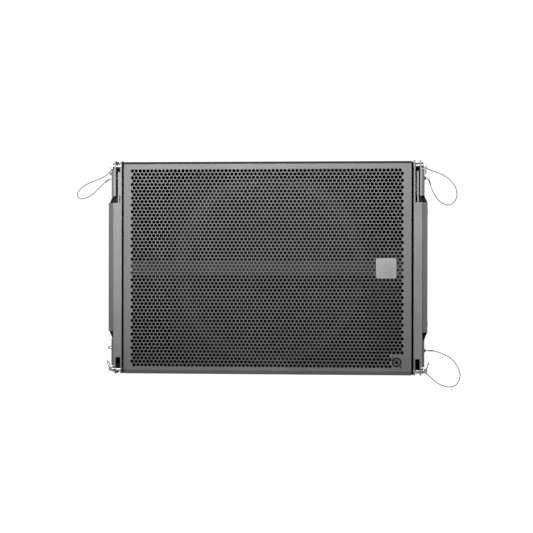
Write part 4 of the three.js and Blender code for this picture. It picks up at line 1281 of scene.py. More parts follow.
@dataclass
class CabinetShell:
    """Coated plywood box with its nose, its slanted lip and its recessed rear panel."""

    edge: float = 1.6
    cup_length: float = 180.6
    cup_height: float = 100.6
    rebate: float = 25.3

    def build(self, shop: Paintshop) -> None:
        """Build the shell as one coated body and keep the boards inside it."""
        half, low, back = ENV.half_width, ENV.bottom, ENV.depth / 2
        profile = [(ENV.wall_front, -ENV.wall)]
        profile += arc(ENV.front + ENV.nose, -ENV.nose, ENV.nose, 180, 90, 8)
        profile.insert(1, (ENV.wall_front, -ENV.nose))
        profile += [(back, 0.0), (back, low), (ENV.wall_front + ENV.bevel - ENV.gap, low)]
        profile += [(ENV.wall_front, low + ENV.bevel - ENV.gap)]
        shell = prism(profile, "x", -half, half, "cabinet_shell")
        inner = half - ENV.wall
        room = block(-inner, inner, ENV.front - 10, ENV.rear_face - ENV.wall, low + ENV.wall, -ENV.wall)
        recess = block(-inner, inner, ENV.rear_face, back + 10, low + ENV.wall, -ENV.wall)
        tools = [room, recess]
        for sign in (-1, 1):
            x0, x1 = sorted((sign * (half - ENV.sheet - ENV.gap), sign * (half + 5)))
            tools.append(block(x0, x1, ENV.front - 5, ENV.front + self.rebate, low + ENV.wall, -ENV.wall))
            x0, x1 = sorted((sign * (inner - 1), sign * (half + 1)))
            tools.append(prism(rounded(0, ENV.middle, self.cup_length, self.cup_height, 12), "x", x0, x1))
        tools.append(block(-77, 77, ENV.rear_face - ENV.wall - 1, ENV.rear_face + 1, low + 93, low + 167))
        cut(shell, *tools)
        soften(shell, self.edge, 3)
        names = ("cabinet_top", "cabinet_bottom", "cabinet_side_left", "cabinet_side_right", "cabinet_rear")
        shop.deliver(shell, "shell", replaces=names)
        for node in ("driver_baffle", "port_wall_left", "port_wall_right"):
            shop.keep(node, "ply")
        shop.keep("front_brace", "brace")

    def screws(self, fasteners: Fasteners) -> None:
        """Screws round the rear panel."""
        head = ScrewHead(4.2, 1.8, 1.9)
        x, top, low = 318.0, -30.0, ENV.bottom + 30
        spots = [
            ((sx * x * f, ENV.rear_face, z), (0, 1, 0))
            for z in (top, low)
            for sx, f in ((-1, 1), (-1, 0.5), (1, 0.5), (1, 1))
        ]
        spots += [((0, ENV.rear_face, top), (0, 1, 0))]
        spots += [((sx * x, ENV.rear_face, ENV.middle), (0, 1, 0)) for sx in (-1, 1)]
        fasteners.place("rear_panel_screws", head, spots, "crimp", 4)


@dataclass
class Grille:
    """Perforated front sheet with folded sides and a rolled edge round the socket's hole."""

    columns: int = 69
    rows: int = 58
    pitch: float = 9.5
    row_pitch: float = 8.227
    hole: float = 4.0
    hole_ease: float = 1.06
    fold_depth: float = 25.0
    first_x: float = -326.1
    first_z: float = -22.0
    plain_rows: int = 4
    plain_beyond: float = 298.0
    socket_x: float = 312.0
    socket_hole: float = 12.2
    head_gap: float = 2.4

    def build(self, shop: Paintshop) -> None:
        """Build the sheet by geometry nodes, then add its folds."""
        top, low = -ENV.nose - self.head_gap, ENV.bottom + ENV.bevel
        centre = (top + low) / 2
        socket_z = ENV.socket_z
        plain = self.first_z - (self.rows - self.plain_rows - 0.5) * self.row_pitch
        sheet = link_mesh("front_grille_sheet", bpy.data.meshes.new("front_grille_sheet"))
        values = {
            "Width": 2 * ENV.half_width - 1.6, "Height": top - low, "Thickness": ENV.sheet,
            "Pitch": self.pitch, "Row Pitch": self.row_pitch,
            "First X": self.first_x, "First Y": self.first_z - centre,
            "Hole Radius": self.hole * self.hole_ease, "Plain Beyond X": self.plain_beyond,
            "Plain Below Y": plain - centre,
            "Large X": self.socket_x, "Large Y": socket_z - centre, "Large Radius": self.socket_hole,
        }
        scaled: dict[str, object] = {key: value * MM for key, value in values.items()}
        scaled.update({"Columns": self.columns, "Rows": self.rows, "Material": shop.material("grille")})
        perforated_sheet_tree().run(sheet, scaled)
        upright = Matrix.Rotation(math.pi / 2, 4, "X")
        sheet.data.transform(Matrix.Translation((0, (ENV.front + ENV.sheet) * MM, centre * MM)) @ upright)
        parts = [sheet]
        for sign in (-1, 1):
            parts.append(self._fold(sign))
        inner, outer = self.socket_hole - 0.3, self.socket_hole + 0.9
        collar = [(inner, -0.3), (inner, 1.2), (outer, 1.2), (outer, -0.1), (self.socket_hole + 0.3, -0.35)]
        parts.append(lathe(collar, "y", (self.socket_x, ENV.front, socket_z), 48))
        front, back = ENV.front, ENV.front + ENV.sheet
        reach = ENV.bevel - 0.2
        lip = [
            (front, low), (front + reach, low - reach), (front + reach + 1.2, low - reach),
            (back - 0.05, low - 0.15), (back, low + 0.1), (front, low + 0.1)
        ]
        parts.append(prism(lip, "x", -ENV.half_width + 0.8, ENV.half_width - 0.8))
        grille = gather("front_grille_sheet", parts)
        grille.data.shade_flat()
        shop.deliver(grille, "grille", replaces=["front_grille"])

    def _fold(self, sign: int) -> bpy.types.Object:
        """One folded side with its round bend."""
        half, t, front = ENV.half_width, ENV.sheet, ENV.front
        bend = arc(half - t, front + t, t, -90, 0, 5)
        outline = [(half - t, front + t)] + bend + [(half, front + self.fold_depth),
            (half - t, front + self.fold_depth)]
        ends = (ENV.bottom + ENV.wall + ENV.gap, -ENV.wall - ENV.gap)
        return prism([(sign * x, y) for x, y in outline], "z", ends[0], ends[1])


@dataclass
class Badge:
    """Plain brushed plate with a raised rim, a ring and three bars."""

    size: float = 49.0
    x: float = 287.0
    radius: float = 5.0

    def build(self, shop: Paintshop) -> None:
        """Build the plate and a near-black sheet behind it, a little larger, that shows as a dark edge round
        it.
        """
        z, back = ENV.middle, ENV.front - ENV.gap
        plate = prism(
            rounded(self.x, z, self.size, self.size, self.radius, 8), "y", back - 1.5, back,
            "badge_plate_body"
        )
        rim = prism(rounded(self.x, z, self.size, self.size, self.radius, 8), "y", back - 2.0, back - 1.0)
        inner = prism(
            rounded(self.x, z, self.size - 4, self.size - 4, self.radius - 1.6, 8), "y", back - 3.0,
            back - 1.5
        )
        join(plate, cut(rim, inner))
        bars = [
            block(self.x - w / 2, self.x + w / 2, back - 2.0, back - 1.2, z - h - 0.9, z - h + 0.9)
            for w, h in ((30.0, 9.0), (30.0, 13.0), (18.0, 17.0))
        ]
        ring = lathe([(6.2, -2.0), (8.2, -2.0), (8.2, -1.2), (6.2, -1.2)], "y", (self.x, back, z + 6), 48)
        join(plate, ring, *bars)
        soften(plate, 0.25, 2)
        shop.deliver(plate, "badge", replaces=["badge_plate"])
        pad = prism(
            rounded(self.x, z, self.size + 2.4, self.size + 2.4, self.radius + 1.2, 8), "y", back,
            back + 0.28, "badge_pad"
        )
        shop.deliver(smooth(pad), "socket")


@dataclass
class PanelSocket:
    """Round speaker socket on a rectangular flange."""

    radius: float = 11.6
    throat: float = 7.4
    core: float = 4.4
    barrel: float = 24.0
    flange: float = 2.5

    def body(self, name: str, x: float, z: float, seat: float, proud: float) -> bpy.types.Object:
        """A socket that looks along -Y.

        Args:
            name: The object's name.
            x: Centre along X.
            z: Centre along Z.
            seat: The flange's front face.
            proud: How far the face stands out from the flange.

        Returns:
            The closed body.
        """
        face, end = seat - proud, seat + self.barrel
        plate = prism(rounded(x, z, 26, 31, 2.0), "y", seat, seat + self.flange, name)
        shape = [(0.0, face + 14), (self.core - 0.6, face + 14), (self.throat, face + 14),
            (self.throat, face + 0.6), (self.throat + 0.6, face),
                 (self.radius - 0.7, face), (self.radius, face + 0.7), (self.radius, end), (0.0, end)]
        join(plate, lathe(shape, "y", (x, 0, z), 64))
        middle = lathe(
            [
                (0.0, face + 1), (2.2, face + 1), (2.6, face + 4), (3.6, face + 1.0), (self.core, face + 1.6),
                (self.core, face + 15), (0.0, face + 15)
            ],
            "y", (x, 0, z), 40
        )
        join(plate, middle)
        turns = (math.radians(90), math.radians(270), math.radians(20))
        keys = [
            prism(
                rounded(x + self.throat * math.cos(t), z + self.throat * math.sin(t), 2.4, 2.4, 0.6),
                "y", face - 1, face + 6
            )
            for t in turns
        ]
        cut(plate, *keys)
        return smooth(plate)


@dataclass
class FrontSocket:
    """The socket low on the right of the front, seen through the grille's hole."""

    x: float = 312.0

    def build(self, shop: Paintshop, fasteners: Fasteners) -> None:
        """Build the socket, its steel insert and its two screws."""
        seat, z = ENV.front + ENV.sheet + ENV.gap, ENV.socket_z
        body = PanelSocket().body("front_socket_body", self.x, z, seat, ENV.sheet + ENV.gap + 1.0)
        shop.deliver(body, "socket", replaces=["front_socket"])
        face = ENV.front - 1.0
        insert = lathe(
            [(5.2, 2.6), (7.1, 2.6), (7.1, 5.0), (5.2, 5.0)], "y", (self.x, face, z), 48,
            "front_socket_insert"
        )
        shop.deliver(smooth(insert), "link")
        spots = [
            ((self.x - 9.5, ENV.front, z + 12), (0, -1, 0)), ((self.x + 9.5, ENV.front, z - 12), (0, -1, 0))
        ]
        fasteners.place("front_socket_screws", ScrewHead(2.7, 1.2, 1.2), spots, "crimp", 2)


@dataclass
class InputPanel:
    """Rear steel plate with two sockets."""

    width: float = 190.0
    height: float = 110.0
    thickness: float = 3.0
    from_bottom: float = 130.0
    spacing: float = 60.0

    def build(self, shop: Paintshop, fasteners: Fasteners) -> None:
        """Build the plate, both sockets and every screw."""
        z, y0 = ENV.bottom + self.from_bottom, ENV.rear_face + ENV.gap
        plate = prism(
            rounded(0, z, self.width, self.height, 6), "y", y0, y0 + self.thickness, "input_plate_body"
        )
        cut(plate, *[rod("y", 11.9, y0 - 1, y0 + 6, side * self.spacing / 2, z, 48) for side in (-1, 1)])
        ribs = [block(side * self.spacing / 2 - 12, side * self.spacing / 2 + 12, y0 + 2.5, y0 + 3.35,
            z - 29.4, z - 28.2) for side in (-1, 1)]
        join(plate, *ribs)
        soften(plate, 0.5, 2)
        shop.deliver(plate, "rigging", replaces=["input_plate"])
        spots = [
            ((sx * (self.width / 2 - 9), y0 + self.thickness, z + sz * (self.height / 2 - 9)), (0, 1, 0))
            for sx in (-1, 0, 1)
            for sz in (-1, 1)
        ]
        seat = y0 + self.thickness + ENV.gap + 2.5
        for name, side in (("in", -1), ("link", 1)):
            socket = PanelSocket().body(f"rear_socket_{name}_body", 0, 0, 0, 1.0)
            place = Matrix.Translation((side * self.spacing / 2 * MM, seat * MM, z * MM))
            socket.data.transform(place @ Matrix.Rotation(math.pi, 4, "Z"))
            shop.deliver(socket, "socket", replaces=[f"rear_socket_{name}"])
            spots += [
                ((side * self.spacing / 2 + dx, seat, z + dz), (0, 1, 0))
                for dx, dz in ((-9.5, 12), (9.5, -12))
            ]
        fasteners.place("input_plate_screws", ScrewHead(2.7, 1.5, 1.2), spots, "crimp", 7)


# ------------------------------------------------------------------ woofer


@dataclass
class Woofer:
    """Large woofer on the baffle. Profiles are (radius, distance behind the baffle's front)."""

    radius: float = 235.5
    seat: float = 11.0
    flange: float = 7.0
    surround: float = 210.2
    cone: float = 185.9
    cone_depth: float = 78.0
    paper: float = 2.5
    cap: float = 62.0
    coil: float = 51.5
    steps: int = 96

    def turned(self, name: str, profile: Sequence[Point]) -> bpy.types.Object:
        """A shape turned about the woofer's axis."""
        return lathe(profile, "y", (0.0, ENV.baffle_front, ENV.middle), self.steps, name)

    def build(self, shop: Paintshop, fasteners: Fasteners) -> None:
        """Build every part of the woofer."""
        shop.deliver(self._basket(), "cast", replaces=["woofer_basket"])
        shop.deliver(smooth(self._magnet()), "magnet", replaces=["woofer_magnet"])
        shop.deliver(smooth(self._cone()), "paper", "cone_assembly", ["woofer_cone"])
        shop.deliver(smooth(self._cap()), "paper", "cone_assembly", ["woofer_dust_cap"])
        coil = self.turned(
            "voice_coil_winding",
            [
                (50.0, 75.8), (51.2, 75.8), (51.2, 100), (51.5, 100.4), (51.5, 137.4), (51.2, 137.8),
                (50.0, 137.8)
            ]
        )
        shop.deliver(smooth(coil), "coil", "cone_assembly", ["voice_coil"])
        self._flexing(
            smooth(self._surround()), "cloth", "woofer_surround", shop
        )
        self._flexing(smooth(self._spider()), "spider", "woofer_spider", shop)
        y, ring = ENV.baffle_front - self.flange - ENV.gap, self.radius - self.seat
        spots = []
        for i in range(8):
            turn = math.radians(22.5 + 45 * i)
            spots.append(((ring * math.cos(turn), y, ENV.middle + ring * math.sin(turn)), (0, -1, 0)))
        fasteners.place("woofer_screws", ScrewHead(5.0, 4.0, 2.4), spots, "cast", 11)

    def _flexing(
        self, obj: bpy.types.Object, finish: str, node: str, shop: Paintshop
    ) -> None:
        """Dress a ring that sits between the basket and the cone, bake its place into its mesh and hide its
        CAD node.
        """
        shop.dress(obj, finish)
        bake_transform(obj)
        points = np.empty(len(obj.data.vertices) * 3, np.float32)
        obj.data.vertices.foreach_get("co", points)
        points = points.reshape(-1, 3)
        away = np.hypot(points[:, 0], points[:, 2] - ENV.middle * MM) / MM
        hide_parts(node)
        LOG.info("%s flexes between cabinet and cone_assembly", obj.name)

    def _basket(self) -> bpy.types.Object:
        front, throat = -self.flange - 0.3, self.radius - self.seat - 0.3
        shelf, neck, deep = 100.0, 90.0, 124.0
        shell = self.turned("woofer_frame", [
            (self.radius - 25, front), (self.radius - 1.5, front), (self.radius, front + 1.5),
            (self.radius, -0.3), (throat, -0.3), (throat, 18), (108, neck), (108, deep), (55.5, deep),
            (55.5, deep - 4), (shelf, deep - 4), (shelf, neck), (104, neck - 4), (throat - 4, 14)])
        windows = []
        span, length, height = (throat + 104) / 2, (throat - 104) * 0.5, (neck - 18) * 0.62
        middle = ENV.baffle_front + (18 + neck) / 2
        for i in range(6):
            window = block(
                span - length / 2, span + length / 2 + throat, middle - height / 2, middle + height / 2,
                -span * 0.36, span * 0.36
            )
            turn = Matrix.Rotation(math.radians(60 * i + 30), 4, "Y")
            window.data.transform(Matrix.Translation((0, 0, ENV.middle * MM)) @ turn)
            windows.append(window)
        cut(shell, *windows)
        return smooth(shell)

    def _magnet(self) -> bpy.types.Object:
        pole, ring, front, end = 48.5, 53.0, 124.3, 162.3
        return self.turned("woofer_motor", [
            (0, front), (pole - 1, front), (pole, front + 1), (pole, end), (ring + 6, end),
            (ring + 6, front + 10), (ring, front + 10), (ring, front), (103.5, front),
            (105, front + 1.5), (105, front + 10), (108, front + 10), (108, end), (105, end),
            (105, end + 10.5), (103.5, end + 12), (0, end + 12)])

    def _cone(self) -> bpy.types.Object:
        neck, rim = self.coil + 0.3, self.cone - 2 * self.paper
        front, back, count = [], [], 36
        for i in range(count + 1):
            share = i / count
            sag = 2.2 * math.sin(math.pi * share) + 0.28 * math.sin(2 * math.pi * 9 * share)
            front.append((neck + (rim - neck) * share, (self.cone_depth - self.paper) * (1 - share) - sag))
            back.append((
                neck + 2 * self.paper + (self.cone - neck - 2 * self.paper) * share,
                (self.cone_depth + self.paper) * (1 - share) + (self.paper - 1.6) * share - sag * 0.9
            ))
        profile = [(neck, self.cone_depth)] + front + [(self.cone, -1.6)] + back[::-1]
        return self.turned("woofer_cone_body", profile + [(neck, self.cone_depth + self.paper)])

    def _cap(self) -> bpy.types.Object:
        neck = self.coil + 0.3
        slope = (self.cone_depth - self.paper) / (self.cone - 2 * self.paper - neck)
        rim = self.cone_depth - self.paper - (self.cap - neck) * slope - self.paper - 0.9

        def dome(radius: float, rise: float) -> list[tuple[float, float]]:
            turns = [math.pi / 2 * (1 - i / 16) for i in range(17)]
            return [(radius * math.sin(t) if t > 1e-6 else 0.0, rim - rise * math.cos(t)) for t in turns]

        return self.turned("dust_cap_dome", dome(self.cap - 5, 19.5)[::-1] + dome(self.cap, 21.5))

    def _surround(self) -> bpy.types.Object:
        outer, inner, skin, height = self.surround, self.cone + 0.3, 1.6, 13.0
        centre, half = (outer + inner) / 2, (outer - inner) / 2

        def roll(thick: float, start: float, end: float) -> list[tuple[float, float]]:
            return [
                (centre + (half - thick) * a, -skin - (height - skin - thick) * b)
                for a, b in arc(0, 0, 1, start, end, 20)
            ]

        return self.turned("woofer_surround_roll", roll(0, 0, 180) + roll(skin, 180, 0))

    def _spider(self) -> bpy.types.Object:
        inner, outer, start, count = self.coil + 0.6, 98.0, 86.0, 48

        def wave(offset: float) -> list[tuple[float, float]]:
            return [
                (inner + (outer - inner) * i / count,
                 start + 2.4 * math.sin(2 * math.pi * 6 * i / count) + offset)
                for i in range(count + 1)
            ]

        return self.turned("woofer_spider_ring", wave(0) + wave(1.2)[::-1])


# ------------------------------------------------------------------ side pieces


@dataclass
class SidePieces:
    """Handle cup, pressed pan and textured cheek of each side."""

    grip_length: float = 150.0
    grip_height: float = 52.0

    def _grip(self, x0: float, x1: float) -> bpy.types.Object:
        height = self.grip_height
        return prism(
            rounded(0, ENV.middle, self.grip_length, height, height / 2 - 1, 12), "x", ENV.half_width + x0,
            ENV.half_width + x1
        )

    def cup(self) -> bpy.types.Object:
        """Recessed cup behind the grip."""
        hx, z = ENV.half_width, ENV.middle
        body = prism(rounded(0, z, 180, 100, 12), "x", hx - 58, hx + 3.3, "cup")
        join(body, prism(rounded(0, z, 208, 128, 16), "x", hx + 0.3, hx + 3.3))
        return cut(body, prism(rounded(0, z, 172, 92, 9), "x", hx - 54, hx + 4.3))

    def pan(self) -> bpy.types.Object:
        """C-shaped pressing between the channels."""
        hx, top, low, face, t = ENV.half_width, -118.0, ENV.bottom + 118.0, RIG.end, 3.0
        outer = arc(hx + face - 4, low + 4, 4, -90, 0, 4) + arc(hx + face - 4, top - 4, 4, 0, 90, 4)
        inner = arc(hx + face - 4, top - 4, 1, 90, 0, 3) + arc(hx + face - 4, low + 4, 1, 0, -90, 3)
        points = [(hx + 0.3, low)] + outer + [(hx + 0.3, top), (hx + 0.3, top - t)]
        points += inner + [(hx + 0.3, low + t)]
        end = -CHANNEL_BACK - 0.3
        return cut(prism(points, "y", -end, end, "pan"), self._grip(face - t - 1, face + 1))

    def cheek(self) -> bpy.types.Object:
        """Outer board, thick in the middle, with a slope at each end of the thick part."""
        hx = ENV.half_width
        inner, thin, thick = hx + RIG.cheek, hx + RIG.cheek + RIG.cheek_thin, hx + RIG.cheek + RIG.cheek_thick
        low_slope, top_slope = ENV.bottom + RIG.lower_shoulder, -RIG.top_opening + RIG.shoulder
        low_thick = low_slope + RIG.shoulder + 2
        profile = [(inner, ENV.bottom + RIG.cheek_bottom), (thin, ENV.bottom + RIG.cheek_bottom),
            (thin, low_slope), (thick, low_thick),
                   (thick, -RIG.top_opening), (thin, top_slope), (thin, -RIG.cheek_top),
                   (inner, -RIG.cheek_top)]
        front = ENV.front + 5
        board = prism(profile, "y", front, -front, "cheek")
        tools = [self._grip(RIG.cheek - 1, RIG.cheek + 14)]
        for y0, y1 in ((front - 1, front + RIG.pocket), (-front - RIG.pocket, -front + 1)):
            tools.append(block(inner - 1, thick + 1, y0, y1, -RIG.top_opening, top_slope))
            tools.append(block(inner - 1, thick + 1, y0, y1, low_slope, low_thick))
        return cut(board, *tools)

    def build(self, shop: Paintshop, fasteners: Fasteners) -> None:
        """Build both sides from the right-hand shapes."""
        # the handle cups take the near-black painted shade finish, darker than their own black plastic, for
        # their recess
        recipes = (
            ("handle_cup", self.cup(), 1.2, "void"), ("side_pan", self.pan(), 0.5, "rigging"),
            ("side_cheek", self.cheek(), 1.1, "coat")
        )
        for node, shape, rounding, finish in recipes:
            for side in Side:
                word = side.name.lower()
                piece = soften(mirrored(shape, f"{node}_body_{word}", side, End.FRONT), rounding)
                shop.deliver(piece, finish, replaces=[f"{node}_{word}"])
            discard(shape)
        head = ScrewHead(6.2, 1.0, 2.6)
        for side in Side:
            x = side.value * (ENV.half_width + RIG.cheek + RIG.cheek_thick)
            spots = [((x, y, z), (side.value, 0, 0)) for y in (-318, -110, 110, 318)
                for z in (-120, ENV.bottom + 123)]
            thin = side.value * (ENV.half_width + RIG.cheek + RIG.cheek_thin)
            spots += [
                ((thin, y, z), (side.value, 0, 0)) for y in (-240, 0, 240) for z in (-40, ENV.bottom + 43)
            ]
            fasteners.place(f"cheek_bolts_{side.name.lower()}", head, spots, "link", 20 + side.value)


# ------------------------------------------------------------------ rigging corners


class RigCorner:
    """Channel, link bar, pins and rings, built once and mirrored to each corner."""

    def channel(self) -> bpy.types.Object:
        """Slotted steel channel with open mouth and foot."""
        hx = ENV.half_width
        a, s0, s1, e, seat = hx + RIG.channel, hx + RIG.slot, hx + RIG.slot_end, hx + RIG.end, hx + RIG.seat
        f, b = CHANNEL_FRONT, CHANNEL_BACK
        web, back, past = f + RIG.web, b - RIG.back_wall, 20.0
        r, low, top = RIG.corner, ENV.bottom, RIG.ear
        outline = arc(f + r, low + r, r, 180, 270, 8) + arc(b - r, low + r, r, 270, 360, 8)
        outline += arc(b - r, top - r, r, 0, 90, 8) + arc(f + r, top - r, r, 90, 180, 8)
        body = prism(outline, "x", a, e, "channel")
        ledge = -RIG.top_opening - 0.3
        tools = [
            block(s0, s1, web, back, ledge, past),
            block(s0, s1, web, back, low - past, ledge - RIG.ledge),
            block(s0, s1, f - 1, web + 1, -RIG.top_opening, past),
            block(s0, s1, f - 1, web + 1, low - past, low + RIG.bottom_opening),
            block(seat, e + 1, f - 1, b + 1, -RIG.cheek_top, past),
            block(seat, e + 1, f - 1, b + 1, low - past, low + RIG.cheek_bottom),
            block(s1 - 1, e + 1, f - 1, f + RIG.pocket, -RIG.top_opening, -RIG.top_opening + RIG.shoulder),
        ]
        for y in (PIN_Y, LOCK_Y):
            tools += [rod("x", RIG.hole_radius, a - 1, e + 1, y, z) for z in PIN_Z.values()]
        for z in (top + RIG.saddle * 0.6, low - RIG.saddle * 0.6):
            tools.append(rod("y", RIG.saddle, back - 1, b + 1, (s0 + s1) / 2, z, 40))
        return cut(body, *tools)

    def spacer(self) -> bpy.types.Object:
        """Near-black strip between the cabinet's side and the channel, set back behind the pins: painted
        shade in the gap.
        """
        hx, y = ENV.half_width, PIN_Y + RIG.pin_radius + 3
        return block(hx + 0.3, hx + RIG.channel - 0.3, y, CHANNEL_BACK - 4, ENV.bottom + 1, -1.0, "spacer")

    def liner(self) -> bpy.types.Object:
        """Near-black sheets as painted shade in the pocket beside the link's foot, on the cheek's slopes and
        on the slot's back wall.
        """
        hx, top, y = ENV.half_width, -RIG.top_opening, CHANNEL_FRONT + RIG.pocket
        foot = ENV.bottom + RIG.lower_shoulder
        thin, thick = RIG.cheek + RIG.cheek_thin - 0.2, RIG.cheek + RIG.cheek_thick - 0.6
        parts = [block(hx + RIG.slot_end + 0.2, hx + RIG.end - 0.2, y - 0.5, y + 0.4, top + 0.5,
            top + RIG.shoulder - 0.5)]
        for z0, z1, wide, narrow in (
            (top + 0.4, top + RIG.shoulder - 0.4, thick, thin),
            (foot + 0.4, foot + RIG.shoulder + 1.4, thin, thick)
        ):
            face = ENV.front + 5 + RIG.pocket
            shape = [
                (hx + RIG.cheek + 0.4, z0), (hx + wide, z0), (hx + narrow, z1), (hx + RIG.cheek + 0.4, z1)
            ]
            parts.append(prism(shape, "y", face - 0.5, face + 0.3))
        back = CHANNEL_BACK - RIG.back_wall
        for z0, z1 in ((-60.0, -2.0), (ENV.bottom + 2.0, ENV.bottom + 60.0)):
            parts.append(
                block(hx + RIG.slot + 0.2, hx + RIG.slot_end - 0.2, back - 0.25, back - 0.05, z0, z1)
            )
        return gather("liner", parts)

    def link(self) -> bpy.types.Object:
        """Flat bar stowed in the channel's head."""
        x0 = ENV.half_width + RIG.slot + 0.5
        x1, front, back = x0 + 8.0, PIN_Y + RIG.pin_radius + 2, CHANNEL_BACK - RIG.back_wall - 0.5
        foot = -RIG.top_opening + 15.7
        bar = prism(rounded((front + back) / 2, foot + 30.5, back - front, 61, 3.5), "x", x0, x1, "link")
        join(bar, block(x1 - 3.4, x1, front + 0.6, back - 0.6, -RIG.top_opening, foot + 5))
        return cut(bar, *[rod("x", RIG.hole_radius, x0 - 1, x1 + 1, LOCK_Y, foot + h) for h in (17.0, 43.5)])

    def pin(self, z: float) -> bpy.types.Object:
        """Ring pin: chamfered shaft with a groove, domed head and drilled tang."""
        hx, r = ENV.half_width, RIG.pin_radius
        s, h, t = RIG.channel - 1.8, RIG.head, RIG.tang
        shaft = [(0, s), (r - 1.3, s), (r, s + 1.3), (r, s + 3), (r - 0.35, s + 3.3), (r - 0.35, s + 4.6)]
        shaft += [(r, s + 4.9), (r, h)]
        head = [(6.1, h), (6.5, h + 0.4), (6.5, h + 1.8), (6.15, h + 2.1), (6.15, h + 3.4), (6.5, h + 3.7)]
        head += [(6.5, t - 0.9), (5.6, t), (0, t)]
        shape = lathe(shaft + head, "x", (hx, PIN_Y, z), 40, "pin")
        end = RIG.ring + 4.0
        half = 4.8
        side = [(hx + t - 1, z - half), (hx + end - 3, z - half)]
        side += arc(hx + end - 3, z - half + 3, 3, -90, 0, 5)
        side += arc(hx + end - 3, z + half - 3, 3, 0, 90, 5) + [(hx + t - 1, z + half)]
        tang = prism(side, "y", PIN_Y - 2.5, PIN_Y + 2.5)
        cut(tang, rod("y", 2.0, PIN_Y - 5, PIN_Y + 5, hx + RIG.ring, z, 28))
        return join(shape, tang)

    def ring(self, z: float, tilt: float) -> bpy.types.Object:
        """Pull ring threaded through the tang, at a tilt from hanging, in degrees."""
        hinge = Vector((ENV.half_width + RIG.ring, PIN_Y, z))
        turn = math.radians(tilt)
        down = Vector((math.sin(turn), 0, -math.cos(turn)))
        return hoop("ring", hinge + down * 10.5, Vector((0, 1, 0)), down, 10.5, 1.1)

    def build(self, shop: Paintshop) -> None:
        """Build all four corners."""
        shapes = [("rig_channel", self.channel(), 0.55, "rigging"), ("link_bar", self.link(), 0.8, "link")]
        for level in Level:
            z = PIN_Z[level]
            shapes.append((f"{level.value}_pin", self.pin(z), 0.0, "bright"))
            shapes.append(
                (f"{level.value}_ring", self.ring(z, 0.0 if level is Level.TOP else 160.0), 0.0, "ring")
            )
        bodies = {"rig_channel": "cabinet", "link_bar": "link_{}"}
        for node, shape, rounding, finish in shapes:
            for side in Side:
                for end in End:
                    corner = f"{end.name.lower()}_{side.name.lower()}"
                    piece = mirrored(shape, f"{node}_shape_{corner}", side, end)
                    piece = soften(piece, rounding)
                    body = bodies.get(node, node + "_{}").format(corner)
                    shop.deliver(piece, finish, body, [f"{node}_{corner}"])
            discard(shape)
        # near-black strip and sheets: painted shade in the gap beside the channel, in the pockets and on the
        # slot's back wall
        for name, shape in (("rig_spacer", self.spacer()), ("pocket_liner", self.liner())):
            for side in Side:
                for end in End:
                    piece = mirrored(shape, f"{name}_{end.name.lower()}_{side.name.lower()}", side, end)
                    shop.deliver(smooth(piece), "void")
            discard(shape)


# ------------------------------------------------------------------ lanyards


